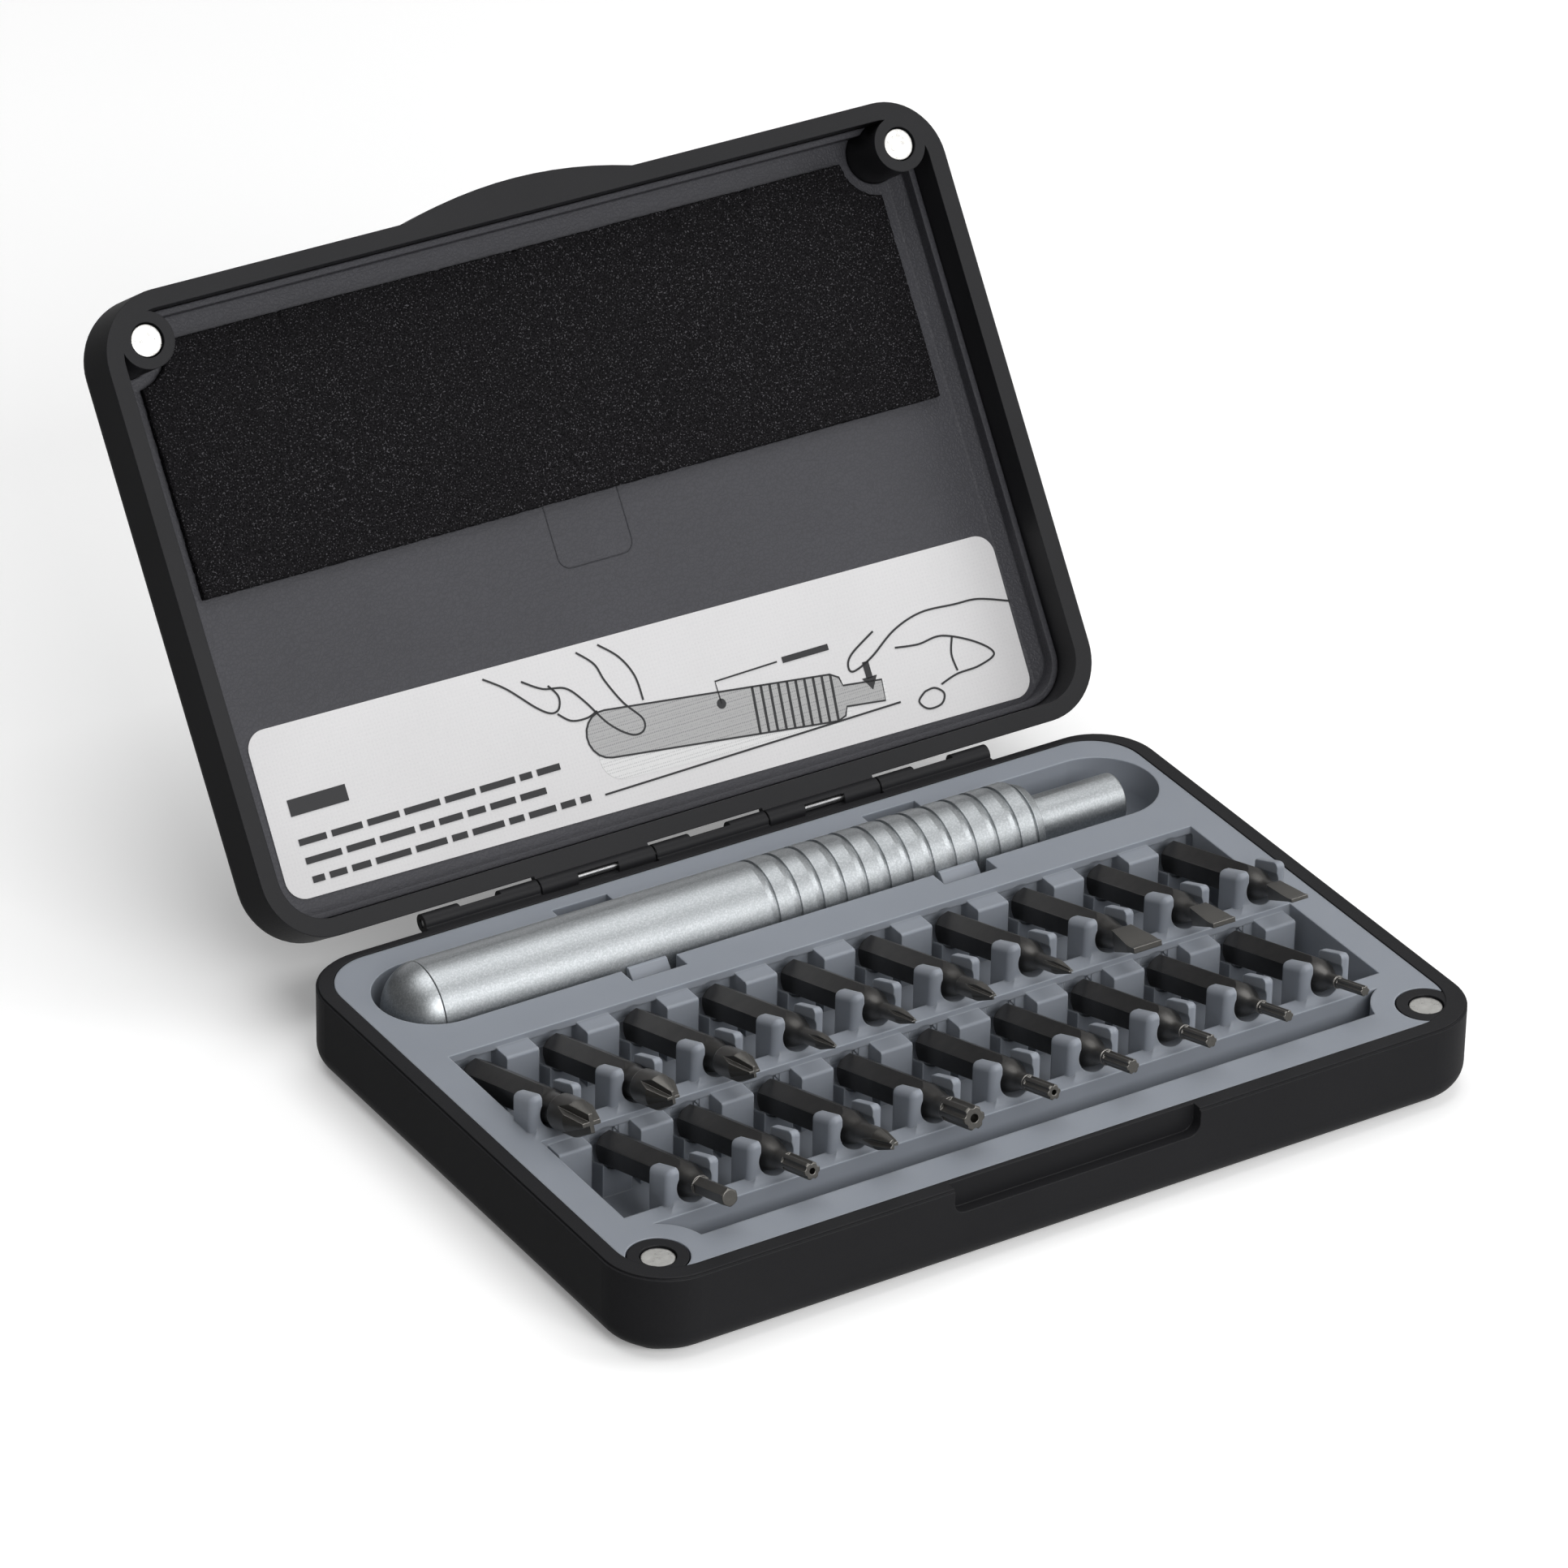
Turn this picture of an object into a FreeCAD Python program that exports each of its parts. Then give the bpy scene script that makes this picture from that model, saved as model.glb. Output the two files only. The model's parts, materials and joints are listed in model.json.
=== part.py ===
"""Precision screwdriver set: a hinged case, a tray, a swivel-cap handle and nineteen driver bits.

Frame: origin at the centre of the case's underside, +X along the hinge, -Y to the front, +Z up.
The lid is drawn shut and then swung open about the hinge pin. All lengths are in millimetres.
"""
import FreeCAD, Part
import math
import os

V = FreeCAD.Vector
X_AXIS = V(1, 0, 0)
Y_AXIS = V(0, 1, 0)
Z_AXIS = V(0, 0, 1)

# Case, overall
CASE_LENGTH = 120.0
CASE_DEPTH = 81.5
BASE_HEIGHT = 11.25
LID_HEIGHT = 9.5
CORNER_RADIUS = 8.3
BASE_EDGE_ROUND = 3.15
LID_EDGE_ROUND = 2.6
RIM_GAP = 0.06

# Case walls
BASE_WALL = 2.25
BASE_BACK_WALL = 1.35
BASE_FLOOR = 1.5
FOOT_HEIGHT = 0.25
FOOT_INSET = 7.0
FOOT_CORNER = 4.0
LID_WALL = 2.3
LID_TOP = 1.0
RIM_STEP = 0.3
FINGER_RECESS_WIDTH = 34.5
FINGER_RECESS_HEIGHT = 3.5
FINGER_RECESS_DEPTH = 1.55
THUMB_LIP_WIDTH = 33.0
THUMB_LIP_REACH = 2.15
THUMB_LIP_HEIGHT = 5.0
THUMB_LIP_EDGE = 1.0
THUMB_LIP_OVERLAP = 0.05
FINGER_RECESS_ROUND = 1.6

# Hinge
OPEN_ANGLE = 124.0
HINGE_SETBACK = 1.5
HINGE_LENGTH = 82.2
KNUCKLES = 5
KNUCKLE_GAP = 0.25
KNUCKLE_RADIUS = 1.18
PIN_RADIUS = 0.5
PIN_CLEARANCE = 0.05
PIN_END_REST = 0.3
WINDOW_LENGTH = 5.8
HINGE_WEB = 1.0
STOP_GAP = 0.04

# Closure magnets and their bosses
MAGNET_RADIUS = 2.0
MAGNET_LENGTH = 3.0
MAGNET_RECESS = 0.35
MAGNET_POCKET_GAP = 0.2
BOSS_RADIUS = 3.6
BOSS_SIDE_INSET = 6.0
BOSS_FRONT_INSET = 5.85

# Tray
TRAY_GAP = 0.1
TRAY_SINK = 0.1
TRAY_FLOOR = 1.2
WELL_BACK_MARGIN = 3.75
WELL_END_MARGIN = 4.35
WELL_SHIFT = 0.65
WELL_FLOOR_ROUND = 4.1
STRIP_WIDTH = 6.2
BIT_WELL_END_MARGIN = 6.7
FRONT_MARGIN = 4.9
BOSS_COLLAR = 3.1
LIP_THICKNESS = 1.1
LIP_REACH = 1.2
CORING_WALL = 1.2
CORING_LEAST_WIDTH = 0.4
JOINT_OVERLAP = 0.5

# Tray snap fingers beside the handle
SNAP_SPREAD = 22.4
SNAP_NOTCH_WIDTH = 7.8
SNAP_NOTCH_DEPTH = 2.6
SNAP_BACK_NOTCH_DEPTH = 1.5
SNAP_FINGER_WIDTH = 5.4
SNAP_FINGER_INSET = 1.6
SNAP_FINGER_GAP = 0.12
SNAP_FINGER_SINK = 0.65
SNAP_FINGER_CREST = 0.45
SNAP_FINGER_SLOPE_REACH = 1.1
SNAP_FINGER_SLOPE_DROP = 1.2
SADDLE_WIDTH = 3.0
SADDLE_GAP = 0.05

# Handle
HANDLE_RADIUS = 6.0
HANDLE_SIDE_GAP = 1.5
HANDLE_RISE = 3.85
TAIL_END_GAP = 1.05
CAP_LENGTH = 4.9
CAP_GAP = 0.12
BODY_LENGTH = 86.5
BODY_TAIL_CHAMFER = 0.1
NOSE_RADIUS = 3.2
NOSE_LENGTH = 13.45
NOSE_ROUND = 0.35
GROOVES = 12
GROOVE_PITCH = 3.21
GROOVE_WIDTH = 0.35
GROOVE_DEPTH = 0.42
GROOVE_RAMP = 0.95
GROOVE_RAMP_DROP = 0.15
LAST_GROOVE_INSET = 4.25
BAND_END_ROUND = 0.45
COLLAR_LENGTH = 1.3
COLLAR_GROOVE_WIDTH = 0.35
COLLAR_GROOVE_DEPTH = 0.9
COLLAR_RADIUS = 5.6
COLLAR_END_RADIUS = 5.1
COLLAR_ROUND = 0.3

# Swivel of the tail cap
STEM_RADIUS = 2.0
STEM_LENGTH = 7.0
STEM_CLEARANCE = 0.06
STEM_END_GAP = 0.5
SNAP_RING_WIRE = 0.8
SNAP_RING_STEP = 0.5
SNAP_RING_INSET = 1.6
SNAP_RING_SIDE_GAP = 0.1

# Bit socket
SOCKET_RADIUS = 2.75
SOCKET_LENGTH = 12.0
SOCKET_SLACK = 0.06
SOCKET_DEPTH = 8.5
SOCKET_MAGNET_RADIUS = 1.9
SOCKET_MAGNET_LENGTH = 2.0

# Bits
BIT_ACROSS_FLATS = 4.0
BIT_LENGTH = 28.0
BIT_REAR_CHAMFER = 0.4
BIT_SHANK = 17.0
BIT_SHOULDER = 4.4
NECK_STEP = 0.05
NECK_TURN = 0.45
NECK_LEAN = 0.25
BIT_PITCH = 11.14
BIT_TILT = 16.5
BIT_REAR_OFFSET = 1.05
BIT_REAR_DROP = 3.14
BACK_ROW_COUNT = 10
ROW_PITCH = 21.6

# Bits' working ends, as shares of the tip's length or radius unless in millimetres
FLUTED_TAPER = 0.45
FLUTE_RUN_OUT = 2.2
FLUTE_ROOT = 0.3
FLUTE_START = 0.2
BLADE_LAND = 0.15
BLADE_FLARE = 0.3
STAR_CHAMFER = 0.12
STAR_HOLLOW_OFFSET = 1.12
STAR_HOLLOW = 0.34
STAR_RUN_OUT = 0.4
STAR_BORE_DEPTH = 2.0
HEXAGON_CHAMFER = 0.2

# Bit holders in the tray
BIT_SIDE_GAP = 0.1
BIT_REST_GAP = 0.06
FIN_THICKNESS = 1.5
FIN_START = 15.4
FIN_END = 20.1
FIN_REAR_RISE = 3.4
FIN_FRONT_RISE = 5.2
FIN_ROUND = 0.6
FIN_SIDE_ROUND = 0.9
FIN_FLARE = 1.2
BRIDGE_THICKNESS = 2.7
BLOCK_WIDTH = 4.4
BLOCK_REACH = 2.7
BLOCK_DROP = 0.9
BLOCK_ROUND = 0.35
REAR_SHELF_REACH = 3.0
PASSAGE_REAR_ROOM = 1.55
PASSAGE_LENGTH = 30.0

# Lid furnishing
LINER_FLOOR = 0.6
LINER_WALL = 0.8
LINER_GAP = 0.1
LINER_RIM_DEPTH = 4.7
LINER_SLOPE = 1.7
LINER_SLOPE_RISE = 1.2
FOAM_THICKNESS = 1.2
FOAM_SIDE_MARGIN = 6.6
FOAM_FRONT_MARGIN = 5.9
FOAM_WIDTH = 32.0
FOAM_BOSS_GAP = 1.6
LABEL_THICKNESS = 0.15
LABEL_LENGTH = 108.0
LABEL_WIDTH = 21.4
LABEL_BACK_MARGIN = 4.6
LABEL_SHIFT = 0.75
LABEL_CORNER = 2.6
LABEL_SKEW = 0.75

# Places worked out from the sizes above
HALF_X = CASE_LENGTH / 2
BACK_Y = CASE_DEPTH / 2
FRONT_Y = -CASE_DEPTH / 2
HINGE_Y = BACK_Y + HINGE_SETBACK
HINGE_Z = BASE_HEIGHT
LID_Z = BASE_HEIGHT + RIM_GAP
BOSS_X = HALF_X - BOSS_SIDE_INSET
BOSS_Y = FRONT_Y + BOSS_FRONT_INSET
TRAY_TOP = BASE_HEIGHT - TRAY_SINK
WELL_FLOOR = BASE_FLOOR + TRAY_FLOOR
TRAY_HALF_X = HALF_X - BASE_WALL - TRAY_GAP
TRAY_BACK = BACK_Y - BASE_BACK_WALL - TRAY_GAP
TRAY_FRONT = FRONT_Y + BASE_WALL + TRAY_GAP
HANDLE_WELL_HALF_Y = HANDLE_RADIUS + HANDLE_SIDE_GAP
HANDLE_Y = TRAY_BACK - WELL_BACK_MARGIN - HANDLE_WELL_HALF_Y
HANDLE_Z = BASE_HEIGHT + HANDLE_RISE - HANDLE_RADIUS
HANDLE_WELL_X = HALF_X - WELL_END_MARGIN
TAIL_X = WELL_SHIFT - HANDLE_WELL_X + TAIL_END_GAP
BODY_TAIL_X = TAIL_X + CAP_LENGTH + CAP_GAP
BODY_NOSE_X = BODY_TAIL_X + BODY_LENGTH
NOSE_X = BODY_NOSE_X + NOSE_LENGTH
BIT_WELL_X = HALF_X - BIT_WELL_END_MARGIN
ROW_Y = [HANDLE_Y - HANDLE_WELL_HALF_Y - STRIP_WIDTH]
ROW_Y.append(ROW_Y[0] - ROW_PITCH)
BIT_WELL_FRONT = FRONT_Y + BASE_WALL + FRONT_MARGIN
BIT_CORNER_RADIUS = BIT_ACROSS_FLATS / 2 / math.cos(math.pi / 6)
BIT_REAR_Z = BASE_HEIGHT - BIT_REAR_DROP
CRADLE_RADIUS = BIT_CORNER_RADIUS + BIT_REST_GAP
FIN_INNER = BIT_ACROSS_FLATS / 2 + BIT_SIDE_GAP
FIN_OUTER = FIN_INNER + FIN_THICKNESS
LID_CEILING = LID_Z + LID_HEIGHT - LID_TOP
LINER_FACE = LID_CEILING - LINER_FLOOR


def row_places(row):
    """X of each bit in a row; the front row has one bit fewer and sits half a pitch across."""
    count = BACK_ROW_COUNT - row
    return [(i - (count - 1) / 2) * BIT_PITCH for i in range(count)]


def box(x0, x1, y0, y1, z0, z1):
    return Part.makeBox(x1 - x0, y1 - y0, z1 - z0, V(x0, y0, z0))


def rod(radius, start, end):
    span = end - start
    return Part.makeCylinder(radius, span.Length, start, span)


def slab(half_x, y0, y1, radius, z0, z1):
    """Plate with four rounded upright corners."""
    plate = box(-half_x, half_x, y0, y1, z0, z1)
    uprights = [e for e in plate.Edges if e.BoundBox.ZLength > (z1 - z0) / 2]
    return plate.makeFillet(radius, uprights)


def prism(points, direction):
    outline = [V(*p) for p in points]
    return Part.Face(Part.makePolygon(outline + outline[:1])).extrude(direction)


def edges_at_z(shape, z):
    return [e for e in shape.Edges if abs(e.BoundBox.ZMin - z) < 1e-4 and abs(e.BoundBox.ZMax - z) < 1e-4]


def on_axis(x):
    """Point on the handle's axis."""
    return V(x, HANDLE_Y, HANDLE_Z)


def spun_x(points, y, z):
    """Solid of revolution about a line along X; points are (x, radius)."""
    outline = [V(px, 0, pr) for px, pr in points]
    solid = revolved(Part.makePolygon(outline + outline[:1]), X_AXIS)
    solid.translate(V(0, y, z))
    return solid


def revolved(wire, axis):
    """Full turn of a closed outline about an axis through the origin, with its faces outward."""
    solid = Part.Face(wire).revolve(V(0, 0, 0), axis, 360)
    if solid.Volume < 0:
        solid.reverse()
    return solid


def fused(shapes):
    return shapes[0].multiFuse(shapes[1:]).removeSplitter() if len(shapes) > 1 else shapes[0]


def as_solid(shape):
    return shape.Solids[0] if len(shape.Solids) == 1 else shape


# ---------------------------------------------------------------- hinge

def knuckle_spans(lid):
    """X spans of the knuckles: the base has the odd ones, the lid the even ones."""
    pitch = HINGE_LENGTH / KNUCKLES
    spans = []
    for i in range(1 if lid else 0, KNUCKLES, 2):
        left = -HINGE_LENGTH / 2 + i * pitch
        spans.append((left + KNUCKLE_GAP / 2, left + pitch - KNUCKLE_GAP / 2))
    return spans


def knuckle(x0, x1, wall_y, side):
    """One moulded knuckle on a web; side is -1 below the rim plane and +1 above it."""
    barrel = rod(KNUCKLE_RADIUS, V(x0, HINGE_Y, HINGE_Z), V(x1, HINGE_Y, HINGE_Z))
    near = HINGE_Z + side * RIM_GAP
    far = HINGE_Z + side * (RIM_GAP + HINGE_WEB)
    web = box(x0, x1, wall_y, HINGE_Y, min(near, far), max(near, far))
    middle = (x0 + x1) / 2
    window_x0 = middle - WINDOW_LENGTH / 2
    window_x1 = middle + WINDOW_LENGTH / 2
    back = HINGE_Y + KNUCKLE_RADIUS
    if side < 0:
        window = box(window_x0, window_x1, HINGE_Y - KNUCKLE_RADIUS / 3, back, HINGE_Z, HINGE_Z + 2)
    else:
        window = box(window_x0, window_x1, HINGE_Y - KNUCKLE_RADIUS / 3, back, HINGE_Z - 2, HINGE_Z)
    bore_radius = PIN_RADIUS + PIN_CLEARANCE
    bore = rod(bore_radius, V(x0 - 1, HINGE_Y, HINGE_Z), V(x1 + 1, HINGE_Y, HINGE_Z))
    return barrel.fuse(web).cut(window).cut(bore)


def swung_open(shape):
    """Turn a piece of the shut lid back to where the open lid holds it."""
    turned = shape.copy()
    turned.rotate(V(0, HINGE_Y, HINGE_Z), X_AXIS, -OPEN_ANGLE)
    return turned


def lid_stop(x0, x1):
    """Heel on a lid knuckle that meets the base's back wall when the lid is fully open."""
    reach = HINGE_Y - BACK_Y - STOP_GAP
    depth = KNUCKLE_RADIUS + 0.1
    heel = box(x0, x1, HINGE_Y - reach, HINGE_Y, HINGE_Z - depth, HINGE_Z - depth / 3)
    shaft = rod(PIN_RADIUS + PIN_CLEARANCE, V(x0, HINGE_Y, HINGE_Z), V(x1, HINGE_Y, HINGE_Z))
    heel = heel.cut(shaft)
    heel.rotate(V(0, HINGE_Y, HINGE_Z), X_AXIS, OPEN_ANGLE)
    return heel


def hinge_pin():
    end = HINGE_LENGTH / 2 - PIN_END_REST
    return rod(PIN_RADIUS, V(-end, HINGE_Y, HINGE_Z), V(end, HINGE_Y, HINGE_Z))


# ---------------------------------------------------------------- case

def magnet(side, z):
    start = V(side * BOSS_X, BOSS_Y, z)
    return rod(MAGNET_RADIUS, start, start + V(0, 0, MAGNET_LENGTH))


def boss(side, z0, z1):
    return rod(BOSS_RADIUS, V(side * BOSS_X, BOSS_Y, z0), V(side * BOSS_X, BOSS_Y, z1))


def magnet_pocket(side, z0, z1):
    radius = MAGNET_RADIUS + MAGNET_POCKET_GAP
    return rod(radius, V(side * BOSS_X, BOSS_Y, z0), V(side * BOSS_X, BOSS_Y, z1))


def finger_recess():
    half = FINGER_RECESS_WIDTH / 2
    low = BASE_HEIGHT - FINGER_RECESS_HEIGHT
    cut = box(-half, half, FRONT_Y - 1, FRONT_Y + FINGER_RECESS_DEPTH, low, BASE_HEIGHT + 1)
    lower = [e for e in edges_at_z(cut, low) if e.BoundBox.YLength > 1]
    return cut.makeFillet(FINGER_RECESS_ROUND, lower)


def base_shell():
    """Open box on a slightly raised foot, with knuckles, magnet bosses and a finger recess."""
    outer = slab(HALF_X, FRONT_Y, BACK_Y, CORNER_RADIUS, FOOT_HEIGHT, BASE_HEIGHT)
    outer = outer.makeFillet(BASE_EDGE_ROUND, edges_at_z(outer, FOOT_HEIGHT))
    foot = slab(HALF_X - FOOT_INSET, FRONT_Y + FOOT_INSET, BACK_Y - FOOT_INSET, FOOT_CORNER, 0, BASE_FLOOR)
    inner_radius = CORNER_RADIUS - BASE_BACK_WALL
    inner_back = BACK_Y - BASE_BACK_WALL
    inner_front = FRONT_Y + BASE_WALL
    hollow = slab(HALF_X - BASE_WALL, inner_front, inner_back, inner_radius, BASE_FLOOR, BASE_HEIGHT + 1)
    low = BASE_HEIGHT - RIM_STEP
    ring = slab(HALF_X + 1, FRONT_Y - 1, BACK_Y + 1, CORNER_RADIUS, low, BASE_HEIGHT + 1)
    kept = slab(HALF_X - RIM_STEP, FRONT_Y + RIM_STEP, BACK_Y - RIM_STEP, CORNER_RADIUS - RIM_STEP, low,
                BASE_HEIGHT + 1)
    shell = outer.cut(hollow).cut(ring.cut(kept)).cut(finger_recess())
    additions = [foot] + [boss(side, BASE_FLOOR / 2, BASE_HEIGHT - TRAY_SINK) for side in (-1, 1)]
    additions += [knuckle(x0, x1, BACK_Y - BASE_BACK_WALL, -1) for x0, x1 in knuckle_spans(False)]
    shell = shell.multiFuse(additions)
    for side in (-1, 1):
        floor = BASE_HEIGHT - MAGNET_RECESS - MAGNET_LENGTH
        shell = shell.cut(magnet_pocket(side, floor, BASE_HEIGHT + 1))
    return as_solid(shell.removeSplitter())


def thumb_lip():
    """Shallow arc on the lid's front edge to lift it by, hollowed towards the lid's top."""
    half = THUMB_LIP_WIDTH / 2
    inside = FRONT_Y + LID_WALL / 2
    root = FRONT_Y + THUMB_LIP_OVERLAP
    tip = V(0, FRONT_Y - THUMB_LIP_REACH, LID_Z)
    arc = Part.Arc(V(-half, root, LID_Z), tip, V(half, root, LID_Z)).toShape()
    closing = Part.makePolygon([V(half, root, LID_Z), V(half, inside, LID_Z), V(-half, inside, LID_Z),
                                V(-half, root, LID_Z)])
    lip = Part.Face(Part.Wire([arc] + closing.Edges)).extrude(V(0, 0, THUMB_LIP_HEIGHT))
    rise = THUMB_LIP_HEIGHT - THUMB_LIP_EDGE
    hollow_radius = (THUMB_LIP_REACH ** 2 + rise ** 2) / (2 * THUMB_LIP_REACH)
    height = LID_Z + THUMB_LIP_HEIGHT
    hollow = rod(hollow_radius, V(-half - 1, FRONT_Y - hollow_radius, height),
                 V(half + 1, FRONT_Y - hollow_radius, height))
    return lip.cut(hollow)


def lid_shell():
    top = LID_Z + LID_HEIGHT
    outer = slab(HALF_X, FRONT_Y, BACK_Y, CORNER_RADIUS, LID_Z, top)
    outer = outer.makeFillet(LID_EDGE_ROUND, edges_at_z(outer, top))
    inner_radius = CORNER_RADIUS - LID_WALL
    hollow = slab(HALF_X - LID_WALL, FRONT_Y + LID_WALL, BACK_Y - LID_WALL, inner_radius, LID_Z - 1,
                  LID_CEILING)
    shell = outer.fuse(thumb_lip()).cut(hollow)
    additions = [boss(side, LID_Z, LID_CEILING + LID_TOP / 2) for side in (-1, 1)]
    for x0, x1 in knuckle_spans(True):
        additions.append(knuckle(x0, x1, BACK_Y - LID_WALL / 2, 1))
        additions.append(lid_stop(x0, x1))
    shell = shell.multiFuse(additions)
    for side in (-1, 1):
        shell = shell.cut(magnet_pocket(side, LID_Z - 1, LID_Z + MAGNET_RECESS + MAGNET_LENGTH))
    return swung_open(as_solid(shell.removeSplitter()))


# ---------------------------------------------------------------- lid furnishing

def around_bosses(z0, z1, gap):
    return [rod(BOSS_RADIUS + gap, V(s * BOSS_X, BOSS_Y, z0), V(s * BOSS_X, BOSS_Y, z1)) for s in (-1, 1)]


def lid_liner():
    """Pan pressed into the lid: a flat floor, sloped sides and a low rim against the lid's walls."""
    half_x = HALF_X - LID_WALL - LINER_GAP
    front = FRONT_Y + LID_WALL + LINER_GAP
    back = BACK_Y - LID_WALL - LINER_GAP
    rim = LID_Z + LINER_RIM_DEPTH
    radius = CORNER_RADIUS - LID_WALL - LINER_GAP
    pan = slab(half_x, front, back, radius, rim, LID_CEILING)
    wide = slab(half_x - LINER_WALL, front + LINER_WALL, back - LINER_WALL, radius - LINER_WALL, rim - 1,
                LINER_FACE)
    wedges = []
    for side in (-1, 1):
        edge = side * (half_x - LINER_WALL)
        foot = side * (half_x - LINER_WALL - LINER_SLOPE)
        outline = [(edge, front, LINER_FACE), (foot, front, LINER_FACE),
                   (edge, front, LINER_FACE - LINER_SLOPE_RISE)]
        shape = prism(outline, V(0, back - front, 0))
        wedges.append(shape)
    body = pan.cut(wide).multiFuse([w.common(pan) for w in wedges])
    body = body.cut(fused(around_bosses(rim - 1, LID_CEILING + 1, LINER_GAP)))
    return swung_open(as_solid(body.removeSplitter()))


def foam_pad():
    half_x = HALF_X - FOAM_SIDE_MARGIN
    front = FRONT_Y + FOAM_FRONT_MARGIN
    pad = box(-half_x, half_x, front, front + FOAM_WIDTH, LINER_FACE - FOAM_THICKNESS, LINER_FACE)
    holes = fused(around_bosses(LID_Z, LID_CEILING, FOAM_BOSS_GAP))
    return swung_open(as_solid(pad.cut(holes)))


def label():
    half = LABEL_LENGTH / 2
    back = BACK_Y - LABEL_BACK_MARGIN
    sheet = slab(half, back - LABEL_WIDTH, back, LABEL_CORNER, LINER_FACE - LABEL_THICKNESS, LINER_FACE)
    sheet.rotate(V(0, back - LABEL_WIDTH / 2, 0), Z_AXIS, LABEL_SKEW)
    sheet.translate(V(LABEL_SHIFT, 0, 0))
    return swung_open(sheet)


# ---------------------------------------------------------------- tray

def bit_axis_point(x, row, distance):
    """Point on the axis of a stowed bit, a distance forward of its rear end."""
    tilt = math.radians(BIT_TILT)
    y = ROW_Y[row] - BIT_REAR_OFFSET - distance * math.cos(tilt)
    return V(x, y, BIT_REAR_Z + distance * math.sin(tilt))


def handle_well():
    low = V(0, 0, WELL_FLOOR)
    ends = HANDLE_WELL_X - HANDLE_WELL_HALF_Y
    depth = TRAY_TOP + 1 - WELL_FLOOR
    straight = box(-ends, ends, HANDLE_Y - HANDLE_WELL_HALF_Y, HANDLE_Y + HANDLE_WELL_HALF_Y, WELL_FLOOR,
                   WELL_FLOOR + depth)
    caps = [Part.makeCylinder(HANDLE_WELL_HALF_Y, depth, low + V(s * ends, HANDLE_Y, 0)) for s in (-1, 1)]
    well = fused([straight] + caps)
    well = well.makeFillet(WELL_FLOOR_ROUND, edges_at_z(well, WELL_FLOOR))
    well.translate(V(WELL_SHIFT, 0, 0))
    return well


def snap_places():
    return [WELL_SHIFT - SNAP_SPREAD, WELL_SHIFT + SNAP_SPREAD]


def snap_notches():
    """Pockets in the well's sides, level with the snap fingers."""
    half = SNAP_NOTCH_WIDTH / 2
    cuts = []
    front = HANDLE_Y - HANDLE_WELL_HALF_Y
    back = HANDLE_Y + HANDLE_WELL_HALF_Y
    top = TRAY_TOP + 1
    for x in snap_places():
        cuts.append(box(x - half, x + half, front - SNAP_NOTCH_DEPTH, front + 1, WELL_FLOOR, top))
        cuts.append(box(x - half, x + half, back - 1, back + SNAP_BACK_NOTCH_DEPTH, WELL_FLOOR, top))
    return cuts


def snap_fingers():
    """Upright fingers that stand in the front notches and close on the handle."""
    inner = HANDLE_Y - HANDLE_RADIUS - SNAP_FINGER_GAP
    crest = inner - SNAP_FINGER_CREST
    outer = crest - SNAP_FINGER_SLOPE_REACH
    top = TRAY_TOP - SNAP_FINGER_SINK
    side = [(inner, BASE_FLOOR), (inner, top), (crest, top), (outer, top - SNAP_FINGER_SLOPE_DROP),
            (outer, BASE_FLOOR)]
    fingers = []
    for x in snap_places():
        left = x - SNAP_NOTCH_WIDTH / 2 + SNAP_FINGER_INSET
        fingers.append(prism([(left, y, z) for y, z in side], V(SNAP_FINGER_WIDTH, 0, 0)))
    return fingers


def saddles():
    """Cross ribs on the well's floor, hollowed to the handle's barrel."""
    ribs = []
    for x in snap_places():
        rib = box(x - SADDLE_WIDTH / 2, x + SADDLE_WIDTH / 2, HANDLE_Y - HANDLE_WELL_HALF_Y,
                  HANDLE_Y + HANDLE_WELL_HALF_Y, BASE_FLOOR, HANDLE_Z - HANDLE_RADIUS / 2)
        seat = rod(HANDLE_RADIUS + SADDLE_GAP, on_axis(x - SADDLE_WIDTH),
                   on_axis(x + SADDLE_WIDTH))
        ribs.append(rib.cut(seat))
    return ribs


def bit_well():
    well = box(-BIT_WELL_X, BIT_WELL_X, BIT_WELL_FRONT, ROW_Y[0], WELL_FLOOR, TRAY_TOP + 1)
    return well.cut(fused(around_bosses(0, TRAY_TOP + 2, BOSS_COLLAR)))


def lip_recesses(row):
    """Hollows under the lip behind each bit's rear end."""
    half = (BIT_PITCH - BLOCK_WIDTH) / 2
    y = ROW_Y[row]
    top = TRAY_TOP - LIP_THICKNESS
    return [box(x - half, x + half, y - JOINT_OVERLAP, y + LIP_REACH, WELL_FLOOR, top)
            for x in row_places(row)]


def blocks(row):
    """Spacer blocks between the rear ends, bevelled along the front."""
    y = ROW_Y[row]
    top = BASE_HEIGHT - BLOCK_DROP
    half = BLOCK_WIDTH / 2
    places = [x + BIT_PITCH / 2 for x in row_places(row)[:-1]]
    if row == 1:
        places = [places[0] - BIT_PITCH] + places + [places[-1] + BIT_PITCH]
    made = []
    for x in places:
        x0 = max(x - half, -BIT_WELL_X - JOINT_OVERLAP)
        x1 = min(x + half, BIT_WELL_X + JOINT_OVERLAP)
        bar = box(x0, x1, y - BLOCK_REACH, y + JOINT_OVERLAP, BASE_FLOOR, top)
        bevel = [e for e in edges_at_z(bar, top) if abs(e.BoundBox.YMax - (y - BLOCK_REACH)) < 1e-4]
        made.append(bar.makeFillet(BLOCK_ROUND, bevel))
    return made


def bridge():
    """Wall across the well, between the rows and at the front row's necks."""
    end = BIT_WELL_X + JOINT_OVERLAP
    walls = []
    for row in (0, 1):
        front = ROW_Y[row] - ROW_PITCH
        walls.append(box(-end, end, front, front + BRIDGE_THICKNESS, BASE_FLOOR, TRAY_TOP))
    return walls


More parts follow.
